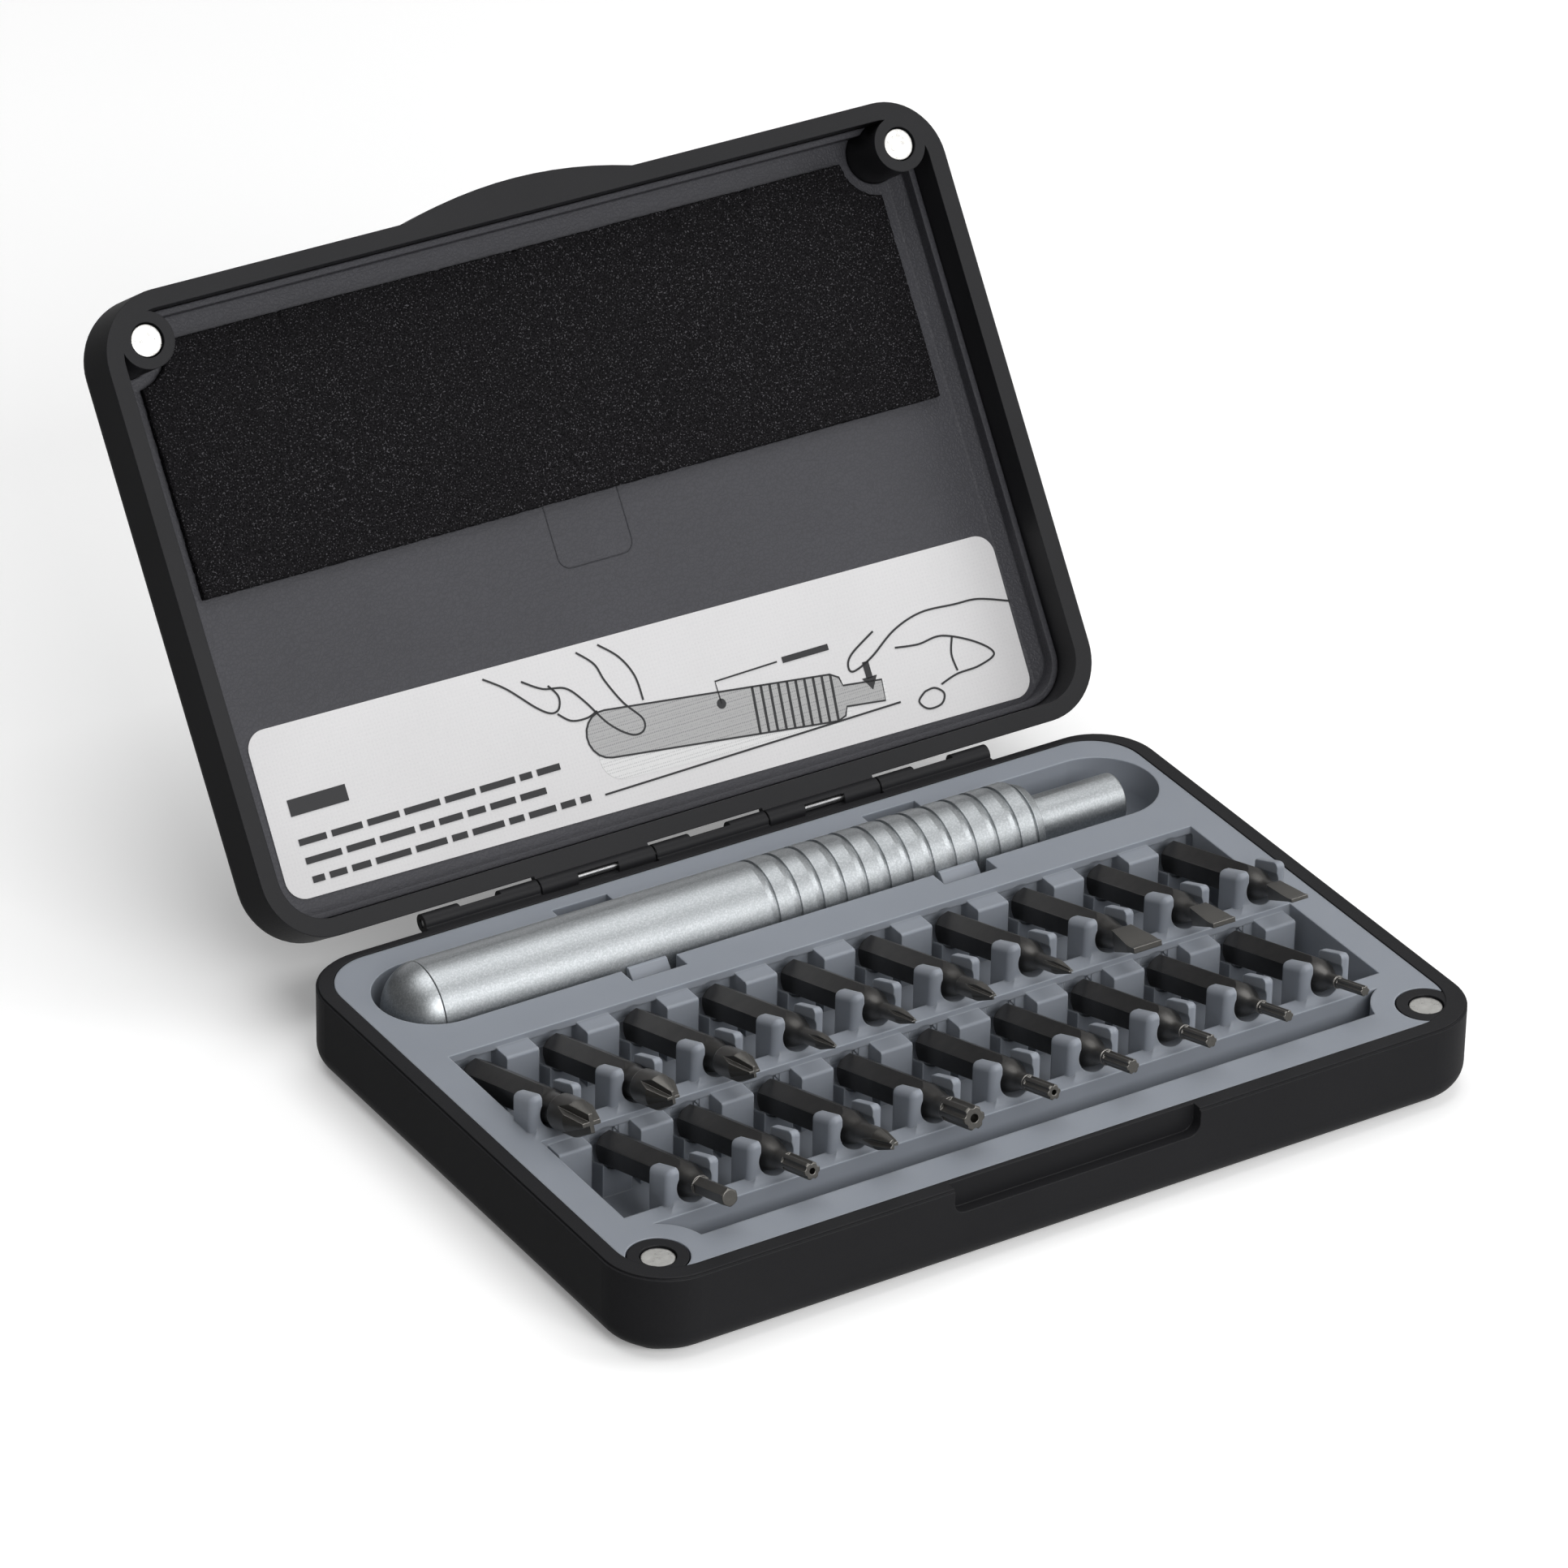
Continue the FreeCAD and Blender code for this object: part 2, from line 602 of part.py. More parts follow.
def fin_pair(x, row):
    """Two upright fins beside a bit's shank, joined below by the cradle that it lies in."""
    y_rear = ROW_Y[row] - FIN_START
    y_front = ROW_Y[row] - FIN_END
    side = [(x - FIN_OUTER, y_rear, BASE_FLOOR), (x - FIN_OUTER, y_rear, BASE_HEIGHT + FIN_REAR_RISE),
            (x - FIN_OUTER, y_front, BASE_HEIGHT + FIN_FRONT_RISE), (x - FIN_OUTER, y_front, BASE_FLOOR)]
    post = prism(side, V(2 * FIN_OUTER, 0, 0))
    crests = [e for e in post.Edges if e.BoundBox.XLength > FIN_OUTER and e.BoundBox.ZMin > BASE_HEIGHT]
    post = post.makeFillet(FIN_ROUND, crests)
    tall = [e for e in post.Edges if e.BoundBox.ZLength > FIN_FRONT_RISE]
    return post.makeFillet(FIN_SIDE_ROUND, [e for e in tall if e.BoundBox.YMax < y_front + 0.001])


def fin_flare(x, row):
    """Hollow-sided foot that spreads a pair of fins onto the bridge in front."""
    y_back = ROW_Y[row] - FIN_END + FIN_SIDE_ROUND
    y_front = y_back - FIN_SIDE_ROUND - FIN_FLARE
    half = FIN_OUTER - FIN_SIDE_ROUND + FIN_FLARE
    foot = box(x - half, x + half, y_front, y_back, BASE_FLOOR, TRAY_TOP + FIN_FLARE)
    hollows = [rod(FIN_FLARE, V(x + s * half, y_front - 1, TRAY_TOP + FIN_FLARE),
                   V(x + s * half, y_back + 1, TRAY_TOP + FIN_FLARE)) for s in (-1, 1)]
    hollows.append(rod(FIN_FLARE, V(x - half - 1, y_front, TRAY_TOP + FIN_FLARE),
                       V(x + half + 1, y_front, TRAY_TOP + FIN_FLARE)))
    return foot.cut(fused(hollows))


def rear_shelf(x, row):
    """Rest under a bit's rear end."""
    y = ROW_Y[row]
    half = BIT_ACROSS_FLATS / 2
    top = bit_axis_point(x, row, 0).z
    return box(x - half, x + half, y - REAR_SHELF_REACH, y + LIP_REACH + BIT_REST_GAP, BASE_FLOOR, top)


def bit_passage(x, row):
    """Room for a bit to lie in its cradle and to slide out along its own axis."""
    start = bit_axis_point(x, row, -PASSAGE_REAR_ROOM)
    end = bit_axis_point(x, row, PASSAGE_LENGTH)
    rear = bit_axis_point(x, row, 0)
    back = rear.y + PASSAGE_REAR_ROOM
    lip = TRAY_TOP - LIP_THICKNESS
    open_from = ROW_Y[row] - FIN_START + 1
    left = x - FIN_INNER
    top = end.z + PASSAGE_LENGTH
    side = [(back, rear.z), (rear.y, rear.z), (end.y, end.z), (end.y, top), (open_from, top),
            (open_from, lip), (back, lip)]
    slot = prism([(left, y, z) for y, z in side], V(2 * FIN_INNER, 0, 0))
    return [rod(CRADLE_RADIUS, start, end), slot]


def coring():
    """Slots under the solid strips that keep the tray's sections even."""
    strip_front = ROW_Y[0] + LIP_REACH + CORING_WALL
    strip_back = HANDLE_Y - HANDLE_WELL_HALF_Y - SNAP_NOTCH_DEPTH - CORING_WALL
    length = (CASE_LENGTH - 2 * BIT_WELL_END_MARGIN) / 3
    roof = TRAY_TOP - CORING_WALL
    slots = []
    for i in (-1, 0, 1):
        x0 = i * length - length / 2 + CORING_WALL
        x1 = i * length + length / 2 - CORING_WALL
        if strip_back - strip_front > CORING_LEAST_WIDTH:
            slots.append(box(x0, x1, strip_front, strip_back, BASE_FLOOR, roof))
    return slots


def tray():
    radius = CORNER_RADIUS - BASE_BACK_WALL - TRAY_GAP
    body = slab(TRAY_HALF_X, TRAY_FRONT, TRAY_BACK, radius, BASE_FLOOR, TRAY_TOP)
    body = body.cut(handle_well()).cut(bit_well())
    body = body.cut(fused(snap_notches()))
    body = body.multiFuse(snap_fingers() + saddles() + bridge() + blocks(0) + blocks(1))
    body = body.cut(Part.makeCompound(lip_recesses(0) + lip_recesses(1)))
    holders = []
    passages = []
    for row in (0, 1):
        for x in row_places(row):
            holders += [fin_pair(x, row), fin_flare(x, row), rear_shelf(x, row)]
            passages += bit_passage(x, row)
    body = body.multiFuse(holders)
    for piece in passages:
        body = body.cut(piece)
    body = body.cut(fused(around_bosses(0, TRAY_TOP + 1, 2 * TRAY_GAP)))
    for slot in coring():
        body = body.cut(slot)
    return as_solid(body.removeSplitter())


# ---------------------------------------------------------------- handle

def groove_outline():
    """(x, radius) points along the grooved band, from the tail to the last groove."""
    points = [(BODY_TAIL_X, HANDLE_RADIUS - BODY_TAIL_CHAMFER),
              (BODY_TAIL_X + BODY_TAIL_CHAMFER, HANDLE_RADIUS)]
    floor = HANDLE_RADIUS - GROOVE_DEPTH
    last = BODY_NOSE_X - LAST_GROOVE_INSET
    for i in range(GROOVES):
        x = last - (GROOVES - 1 - i) * GROOVE_PITCH
        left = x - GROOVE_WIDTH / 2
        right = x + GROOVE_WIDTH / 2
        points += [(x - GROOVE_RAMP, HANDLE_RADIUS), (left, HANDLE_RADIUS - GROOVE_RAMP_DROP), (left, floor),
                   (right, floor), (right, HANDLE_RADIUS)]
    return points


def ring_edges(shape, x, radius):
    """Round edges of a turned piece at one place along its axis."""
    circles = [e for e in shape.Edges if isinstance(e.Curve, Part.Circle)]
    return [e for e in circles if abs(e.Curve.Center.x - x) < 1e-4 and abs(e.Curve.Radius - radius) < 1e-4]


def handle_body():
    """Barrel with a grooved band, a tapered collar and a round nose."""
    collar_x = BODY_NOSE_X - COLLAR_LENGTH
    band_end = collar_x - COLLAR_GROOVE_WIDTH
    floor = HANDLE_RADIUS - COLLAR_GROOVE_DEPTH
    points = groove_outline()
    points += [(band_end, HANDLE_RADIUS), (band_end, floor), (collar_x, floor), (collar_x, COLLAR_RADIUS),
               (BODY_NOSE_X, COLLAR_END_RADIUS), (BODY_NOSE_X, NOSE_RADIUS), (NOSE_X, NOSE_RADIUS),
               (NOSE_X, 0), (BODY_TAIL_X, 0)]
    body = spun_x(points, HANDLE_Y, HANDLE_Z)
    body = body.makeFillet(BAND_END_ROUND, ring_edges(body, band_end, HANDLE_RADIUS))
    body = body.makeFillet(COLLAR_ROUND, ring_edges(body, BODY_NOSE_X, COLLAR_END_RADIUS))
    body = body.makeFillet(NOSE_ROUND, ring_edges(body, NOSE_X, NOSE_RADIUS))
    socket_bore = rod(SOCKET_RADIUS, on_axis(NOSE_X - SOCKET_LENGTH), on_axis(NOSE_X + 1))
    return as_solid(body.cut(socket_bore).cut(stem_bore()))


def stem_bore():
    depth = STEM_LENGTH - CAP_GAP + STEM_END_GAP
    hole = rod(STEM_RADIUS + STEM_CLEARANCE, on_axis(BODY_TAIL_X - 1),
               on_axis(BODY_TAIL_X + depth))
    ring_x = snap_ring_x()
    groove = rod(STEM_RADIUS + SNAP_RING_STEP, on_axis(ring_x - SNAP_RING_SIDE_GAP),
                 on_axis(ring_x + SNAP_RING_WIRE + SNAP_RING_SIDE_GAP))
    return hole.fuse(groove)


def snap_ring_x():
    """Tail-side face of the snap ring, near the stem's inner end."""
    return BODY_TAIL_X - CAP_GAP + STEM_LENGTH - SNAP_RING_INSET - SNAP_RING_WIRE


def snap_ring():
    """Split ring sprung into the stem's groove; it turns in the body's wider groove."""
    x = snap_ring_x()
    inner = STEM_RADIUS - SNAP_RING_STEP
    outer = STEM_RADIUS + SNAP_RING_STEP - SNAP_RING_SIDE_GAP
    ring = rod(outer, on_axis(x), on_axis(x + SNAP_RING_WIRE))
    ring = ring.cut(rod(inner, on_axis(x - 1), on_axis(x + 2)))
    split = box(x - 1, x + 2, HANDLE_Y - inner / 3, HANDLE_Y + inner / 3, HANDLE_Z, HANDLE_Z + 2 * outer)
    return as_solid(ring.cut(split))


def tail_cap():
    """Shallow domed cap with a stem that turns in the body."""
    face_x = BODY_TAIL_X - CAP_GAP
    dome_radius = (HANDLE_RADIUS ** 2 + CAP_LENGTH ** 2) / (2 * CAP_LENGTH)
    ball = Part.makeSphere(dome_radius, on_axis(TAIL_X + dome_radius))
    half = box(TAIL_X - 1, face_x, HANDLE_Y - HANDLE_RADIUS - 1, HANDLE_Y + HANDLE_RADIUS + 1,
               HANDLE_Z - HANDLE_RADIUS - 1, HANDLE_Z + HANDLE_RADIUS + 1)
    stem = rod(STEM_RADIUS, on_axis(face_x - 1), on_axis(face_x + STEM_LENGTH))
    cap = fused([ball.common(half), stem])
    x = snap_ring_x()
    band = rod(STEM_RADIUS + 1, on_axis(x), on_axis(x + SNAP_RING_WIRE))
    band = band.cut(rod(STEM_RADIUS - SNAP_RING_STEP, on_axis(x - 1), on_axis(x + 2)))
    return as_solid(cap.cut(band))


def hexagon_prism(across_flats, z0, z1):
    """Hexagonal bar along Z with two flats facing along X."""
    radius = across_flats / 2 / math.cos(math.pi / 6)
    corners = []
    for i in range(6):
        angle = math.radians(30 + 60 * i + 60)
        corners.append((radius * math.cos(angle), radius * math.sin(angle), z0))
    return prism(corners, V(0, 0, z1 - z0))


def bit_socket():
    """Steel insert in the nose: a hexagonal hole with a magnet pocket at its bottom."""
    body = Part.makeCylinder(SOCKET_RADIUS, SOCKET_LENGTH)
    floor = SOCKET_LENGTH - SOCKET_DEPTH
    hole = hexagon_prism(BIT_ACROSS_FLATS + 2 * SOCKET_SLACK, floor, SOCKET_LENGTH + 1)
    pocket = Part.makeCylinder(SOCKET_MAGNET_RADIUS, SOCKET_MAGNET_LENGTH, V(0, 0, magnet_seat()))
    insert = body.cut(hole).cut(pocket)
    return along_nose(insert)


def magnet_seat():
    return SOCKET_LENGTH - SOCKET_DEPTH - SOCKET_MAGNET_LENGTH


def socket_magnet():
    return along_nose(Part.makeCylinder(SOCKET_MAGNET_RADIUS, SOCKET_MAGNET_LENGTH, V(0, 0, magnet_seat())))


def along_nose(shape):
    """Lay a piece drawn along Z into the nose, its mouth at the nose's tip."""
    laid = shape.copy()
    laid.rotate(V(0, 0, 0), Y_AXIS, 90)
    laid.translate(on_axis(NOSE_X - SOCKET_LENGTH))
    return laid


# ---------------------------------------------------------------- bits

def shank():
    """Hexagonal shank with turned-down ends."""
    bar = hexagon_prism(BIT_ACROSS_FLATS, 0, BIT_SHANK + BIT_SHOULDER / 3)
    r = BIT_CORNER_RADIUS
    face = BIT_ACROSS_FLATS / 2 - BIT_REAR_CHAMFER / 2
    outline = [V(0, 0, 0), V(face, 0, 0), V(r, 0, (r - face) * 1.2), V(r, 0, BIT_SHANK),
               V(BIT_ACROSS_FLATS / 2 - NECK_STEP, 0, BIT_SHANK + BIT_SHOULDER / 3),
               V(0, 0, BIT_SHANK + BIT_SHOULDER / 3)]
    turned = revolved(Part.makePolygon(outline + outline[:1]), Z_AXIS)
    return bar.common(turned)


def neck(radius, end):
    """Bell-shaped shoulder running down from the shank to a round neck."""
    start = BIT_SHANK + BIT_SHOULDER / 3
    foot = BIT_SHANK + BIT_SHOULDER
    full = BIT_ACROSS_FLATS / 2 - NECK_STEP
    turn = V((full + radius) / 2, 0, start + (foot - start) * NECK_TURN)
    bell = Part.BSplineCurve()
    bell.interpolate([V(full, 0, start), turn, V(radius, 0, foot)],
                     InitialTangent=V(-NECK_LEAN, 0, 1), FinalTangent=V(0, 0, 1))
    rest = Part.makePolygon([V(radius, 0, foot), V(radius, 0, end), V(0, 0, end), V(0, 0, start),
                             V(full, 0, start)])
    return revolved(Part.Wire([bell.toShape()] + rest.Edges), Z_AXIS)


def fluted_tip(root, tip, start, flutes, fullness):
    """Cone with V-shaped flutes cut along it, for cross and three-wing drivers."""
    length = BIT_LENGTH - start
    taper = BIT_LENGTH - length * FLUTED_TAPER
    outline = [V(0, 0, start), V(root, 0, start), V(root, 0, taper), V(tip, 0, BIT_LENGTH),
               V(0, 0, BIT_LENGTH)]
    cone = revolved(Part.makePolygon(outline + outline[:1]), Z_AXIS)
    near = root * fullness * FLUTE_RUN_OUT
    far = tip * FLUTE_ROOT
    for i in range(flutes):
        wedge = flute(near, far, 3 * root, start + length * FLUTE_START)
        wedge.rotate(V(0, 0, 0), Z_AXIS, 360.0 / flutes * (i + 0.5))
        cone = cone.cut(wedge)
    return cone


def flute(near, far, reach, start):
    """V-shaped trough whose bottom line runs in from near at its start to far at the bit's end."""
    run = V(far - near, 0, BIT_LENGTH - start)
    beyond = run * (1 / (BIT_LENGTH - start))
    foot = V(near, 0, start) - beyond
    corners = [foot, foot + V(reach, reach, 0), foot + V(reach, -reach, 0)]
    return prism([tuple(c) for c in corners], run + beyond * 2)


def slotted_tip(width, thickness, root, start):
    """Flat blade, ground down on both faces and flaring out to its width."""
    length = BIT_LENGTH - start
    land = BIT_LENGTH - length * BLADE_LAND
    flare = BIT_LENGTH - length * BLADE_FLARE
    half = thickness / 2
    side = [(-width, root, start), (-width, half, land), (-width, half, BIT_LENGTH),
            (-width, -half, BIT_LENGTH), (-width, -half, land), (-width, -root, start)]
    wedge = prism(side, V(2 * width, 0, 0))
    half = width / 2
    front = [(root, -width, start), (half, -width, flare), (half, -width, BIT_LENGTH),
             (-half, -width, BIT_LENGTH), (-half, -width, flare), (-root, -width, start)]
    return wedge.common(prism(front, V(0, 2 * width, 0)))


def star_tip(radius, start, hole):
    """Six-lobed driver end; hole is the radius of the tamper-proof bore, or 0."""
    bar = Part.makeCylinder(radius, BIT_LENGTH - start, V(0, 0, start))
    bar = bar.makeChamfer(radius * STAR_CHAMFER, edges_at_z(bar, BIT_LENGTH))
    offset = radius * STAR_HOLLOW_OFFSET
    for i in range(6):
        angle = math.radians(60 * i + 30)
        foot = V(offset * math.cos(angle), offset * math.sin(angle), start + STAR_RUN_OUT)
        bar = bar.cut(Part.makeCylinder(radius * STAR_HOLLOW, BIT_LENGTH, foot))
    if hole:
        bar = bar.cut(Part.makeCylinder(hole, STAR_BORE_DEPTH + 1, V(0, 0, BIT_LENGTH - STAR_BORE_DEPTH)))
    return bar


def hexagon_tip(across_flats, start):
    bar = hexagon_prism(across_flats, start, BIT_LENGTH)
    r = across_flats / 2 / math.cos(math.pi / 6)
    end = r - HEXAGON_CHAMFER
    outline = [V(0, 0, start), V(r, 0, start), V(r, 0, BIT_LENGTH - HEXAGON_CHAMFER), V(end, 0, BIT_LENGTH),
               V(0, 0, BIT_LENGTH)]
    return bar.common(revolved(Part.makePolygon(outline + outline[:1]), Z_AXIS))


TIP_START = BIT_SHANK + BIT_SHOULDER

# name: (tip, neck radius, sizes of the tip)
BACK_ROW = [
    ("bit_cross_extra_large", "fluted", 1.85, (2.28, 1.2, 4, 0.49)),
    ("bit_cross_large", "fluted", 1.8, (2.15, 0.8, 4, 0.5)),
    ("bit_cross_medium", "fluted", 1.5, (1.85, 0.7, 4, 0.5)),
    ("bit_cross_fine_a", "fluted", 1.0, (1.0, 0.25, 4, 0.5)),
    ("bit_cross_small", "fluted", 0.95, (0.95, 0.3, 4, 0.5)),
    ("bit_cross_small_wide", "fluted", 1.15, (1.2, 0.45, 4, 0.5)),
    ("bit_cross_fine_b", "fluted", 0.95, (0.95, 0.3, 4, 0.5)),
    ("bit_slotted_wide", "slotted", 1.4, (4.0, 0.7)),
    ("bit_slotted_medium", "slotted", 1.2, (3.2, 0.6)),
    ("bit_slotted_narrow", "slotted", 1.0, (2.4, 0.45)),
]
FRONT_ROW = [
    ("bit_hexagon", "hexagon", 1.25, (2.0,)),
    ("bit_star_bored_medium", "star", 1.1, (1.1, 0.4)),
    ("bit_three_wing", "fluted", 1.3, (1.3, 0.6, 3, 0.45)),
    ("bit_star_bored_large", "star", 1.4, (1.5, 0.55)),
    ("bit_star_bored_small", "star", 1.0, (0.95, 0.35)),
    ("bit_star_medium", "star", 1.0, (0.9, 0)),
    ("bit_star_small", "star", 0.9, (0.82, 0)),
    ("bit_star_fine", "star", 0.85, (0.72, 0)),
    ("bit_star_extra_fine", "star", 0.8, (0.65, 0)),
]


def driver_tip(kind, neck_radius, sizes):
    if kind == "fluted":
        root, tip, flutes, fullness = sizes
        return fluted_tip(root, tip, TIP_START, flutes, fullness)
    if kind == "slotted":
        return slotted_tip(sizes[0], sizes[1], neck_radius, TIP_START + 1)
    if kind == "star":
        return star_tip(sizes[0], TIP_START + 1, sizes[1])
    return hexagon_tip(sizes[0], TIP_START)


def bit(x, row, kind, neck_radius, sizes):
    neck_end = TIP_START if kind in ("fluted", "hexagon") else TIP_START + 1
    blank = fused([shank(), neck(neck_radius, neck_end), driver_tip(kind, neck_radius, sizes)])
    blank.rotate(V(0, 0, 0), X_AXIS, 90 - BIT_TILT)
    blank.translate(bit_axis_point(x, row, 0))
    return as_solid(blank)


def all_pieces():
    pieces = {
        "base_shell": base_shell(),
        "tray": tray(),
        "hinge_pin": hinge_pin(),
        "lid_shell": lid_shell(),
        "lid_liner": lid_liner(),
        "foam_pad": foam_pad(),
        "label": label(),
        "handle_body": handle_body(),
        "tail_cap": tail_cap(),
        "tail_snap_ring": snap_ring(),
        "bit_socket": bit_socket(),
        "socket_magnet": socket_magnet(),
    }
    for side, word in ((-1, "left"), (1, "right")):
        pieces["base_magnet_" + word] = magnet(side, BASE_HEIGHT - MAGNET_RECESS - MAGNET_LENGTH)
        pieces["lid_magnet_" + word] = swung_open(magnet(side, LID_Z + MAGNET_RECESS))
    for row, makers in enumerate((BACK_ROW, FRONT_ROW)):
        for x, (name, kind, neck_radius, sizes) in zip(row_places(row), makers):
            pieces[name] = bit(x, row, kind, neck_radius, sizes)
    return pieces


os.makedirs("parts", exist_ok=True)
for node, piece in all_pieces().items():
    piece.exportStep("parts/" + node + ".step")
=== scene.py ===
import json
import math
import random

import bmesh
import bpy
import numpy as np
from mathutils import Matrix, Vector, noise


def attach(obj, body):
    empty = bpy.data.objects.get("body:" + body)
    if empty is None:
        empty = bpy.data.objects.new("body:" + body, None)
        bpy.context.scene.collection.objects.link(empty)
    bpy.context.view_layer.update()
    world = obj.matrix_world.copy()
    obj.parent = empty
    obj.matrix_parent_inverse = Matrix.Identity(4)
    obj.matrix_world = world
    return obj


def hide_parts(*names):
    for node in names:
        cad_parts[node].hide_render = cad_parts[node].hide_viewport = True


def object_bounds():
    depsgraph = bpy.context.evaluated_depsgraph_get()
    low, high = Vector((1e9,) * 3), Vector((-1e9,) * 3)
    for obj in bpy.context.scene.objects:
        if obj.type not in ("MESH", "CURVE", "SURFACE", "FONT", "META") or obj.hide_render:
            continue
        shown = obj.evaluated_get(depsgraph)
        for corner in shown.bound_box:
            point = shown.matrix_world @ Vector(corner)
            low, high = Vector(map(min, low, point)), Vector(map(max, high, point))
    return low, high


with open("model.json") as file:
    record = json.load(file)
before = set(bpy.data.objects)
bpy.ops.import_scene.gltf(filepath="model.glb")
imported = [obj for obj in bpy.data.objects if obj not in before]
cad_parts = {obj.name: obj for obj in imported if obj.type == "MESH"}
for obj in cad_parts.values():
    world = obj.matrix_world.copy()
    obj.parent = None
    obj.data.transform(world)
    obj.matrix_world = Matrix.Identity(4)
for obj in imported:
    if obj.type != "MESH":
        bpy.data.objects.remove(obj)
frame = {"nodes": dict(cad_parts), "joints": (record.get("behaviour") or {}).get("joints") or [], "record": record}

CAD_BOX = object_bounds()
MM = 0.001
SCENE = bpy.context.scene
NODES = frame["nodes"]
JOINTS = {j["name"]: j for j in frame["joints"]}


# ---------------------------------------------------------------- the lid's own frame

def lid_frame():
    """Matrix from the shut lid's place to the open one, and a point on the hinge's axis, in metres."""
    place = Vector(JOINTS["lid_hinge"]["pos_m"])
    swing = Matrix.Rotation(-math.radians(LID_SWING), 4, "X")
    return Matrix.Translation(place) @ swing @ Matrix.Translation(-place), place


LID_SWING = max(abs(v) for v in JOINTS["lid_hinge"]["range_deg"])
TO_OPEN, HINGE = lid_frame()
TO_SHUT = TO_OPEN.inverted()


def shut_box(node):
    """Lowest and highest corner of a lid node when the lid is shut, in metres."""
    co = np.array([TO_SHUT @ v.co for v in NODES[node].data.vertices])
    return co.min(0), co.max(0)


# ---------------------------------------------------------------- shader building

class Finish:
    """A material with one Principled shader, and short calls to build its nodes."""

    def __init__(self, name, **constants):
        self.mat = bpy.data.materials.new(name)
        self.mat.use_nodes = True
        self.tree = self.mat.node_tree
        self.tree.nodes.clear()
        self.out = self.tree.nodes.new("ShaderNodeOutputMaterial")
        self.skin = self.tree.nodes.new("ShaderNodeBsdfPrincipled")
        self.tree.links.new(self.skin.outputs[0], self.out.inputs[0])
        self.set(self.skin, {k.replace("_", " "): v for k, v in constants.items()})
        self.coords = self.tree.nodes.new("ShaderNodeTexCoord")
        self.here = self.vector("SCALE", self.coords.outputs["Object"], scale=1 / MM)

    def set(self, node, values):
        for key, value in values.items():
            socket = node.inputs[key]
            if isinstance(value, bpy.types.NodeSocket):
                self.tree.links.new(value, socket)
            else:
                socket.default_value = value

    def node(self, kind, inputs=None, output=0, **props):
        made = self.tree.nodes.new("ShaderNode" + kind)
        for key, value in props.items():
            setattr(made, key, value)
        self.set(made, inputs or {})
        return made.outputs[output]

    def vector(self, operation, a, b=None, scale=None):
        made = self.tree.nodes.new("ShaderNodeVectorMath")
        made.operation = operation
        self.set(made, {0: a})
        if b is not None:
            self.set(made, {1: b})
        if scale is not None:
            made.inputs["Scale"].default_value = scale
        return made.outputs["Value" if operation == "DOT_PRODUCT" else "Vector"]

    def math(self, operation, a, b):
        return self.node("Math", {0: a, 1: b}, operation=operation)

    def noise(self, scale, detail=2.0, rough=0.5, at=None, output="Fac"):
        inputs = {"Vector": at or self.here, "Scale": scale, "Detail": detail, "Roughness": rough}
        return self.node("TexNoise", inputs, output=output)

    def ramp(self, value, low, high, out_low=0.0, out_high=1.0):
        return self.node("MapRange", {0: value, 1: low, 2: high, 3: out_low, 4: out_high})

    def mix(self, factor, a, b):
        made = self.tree.nodes.new("ShaderNodeMix")
        made.data_type = "RGBA"
        made.clamp_factor = True
        self.set(made, {0: factor, 6: a, 7: b})
        return made.outputs[2]

    def edge(self, radius, low=0.02, high=0.35):
        """(mask that is 1 on sharp edges, rounded normal) within a radius in millimetres."""
        rounded = self.node("Bevel", {"Radius": radius * MM}, samples=6)
        flat = self.node("NewGeometry", output="Normal")
        turn = self.math("SUBTRACT", 1.0, self.vector("DOT_PRODUCT", rounded, flat))
        return self.ramp(turn, low, high), rounded

    def bump(self, height, depth, normal=None, strength=1.0):
        inputs = {"Strength": strength, "Distance": depth * MM, "Height": height}
        if normal is not None:
            inputs["Normal"] = normal
        return self.node("Bump", inputs)

    def finish(self, **sockets):
        self.set(self.skin, {k.replace("_", " "): v for k, v in sockets.items()})
        return self.mat


def colour(r, g, b):
    """Linear colour from 8-bit display values."""
    def linear(v):
        v /= 255
        return v / 12.92 if v <= 0.04045 else ((v + 0.055) / 1.055) ** 2.4
    return (linear(r), linear(g), linear(b), 1.0)


# ---------------------------------------------------------------- materials

def shell_black():
    m = Finish("shell_black", IOR=1.46, Specular_IOR_Level=0.22)
    painted_edge_highlight, rounded = m.edge(0.22)
    grain = m.noise(7.5, 3, 0.6)
    cloud = m.noise(0.06, 3, 0.55)
    speck = m.noise(11.0, 1, 0.4)
    base = m.mix(cloud, colour(24, 24, 26), colour(31, 31, 33))
    base = m.mix(m.ramp(speck, 0.62, 0.78, 0, 0.5), base, colour(44, 44, 46))
    # Painted highlight: the black base colour turns lighter grey along the sharp edges.
    base = m.mix(m.math("MULTIPLY", painted_edge_highlight, 0.45), base, colour(52, 52, 54))
    return m.finish(Base_Color=base, Roughness=m.ramp(grain, 0.3, 0.7, 0.40, 0.52),
                    Normal=m.bump(grain, 0.018, rounded, 0.55))


def tray_grey():
    m = Finish("tray_grey", IOR=1.5, Specular_IOR_Level=0.35, Subsurface_Weight=0.25,
               Subsurface_Scale=0.001, Subsurface_Radius=(0.9, 1.0, 1.15))
    lit, rounded = m.edge(0.3)
    cloud = m.noise(0.05, 3, 0.6)
    grain = m.noise(5.0, 3, 0.6)
    base = m.mix(cloud, colour(128, 133, 141), colour(138, 143, 151))
    base = m.mix(m.math("MULTIPLY", lit, 0.5), base, colour(176, 182, 190))
    return m.finish(Base_Color=base, Roughness=m.ramp(grain, 0.3, 0.7, 0.36, 0.46),
                    Normal=m.bump(grain, 0.006, rounded, 0.5))


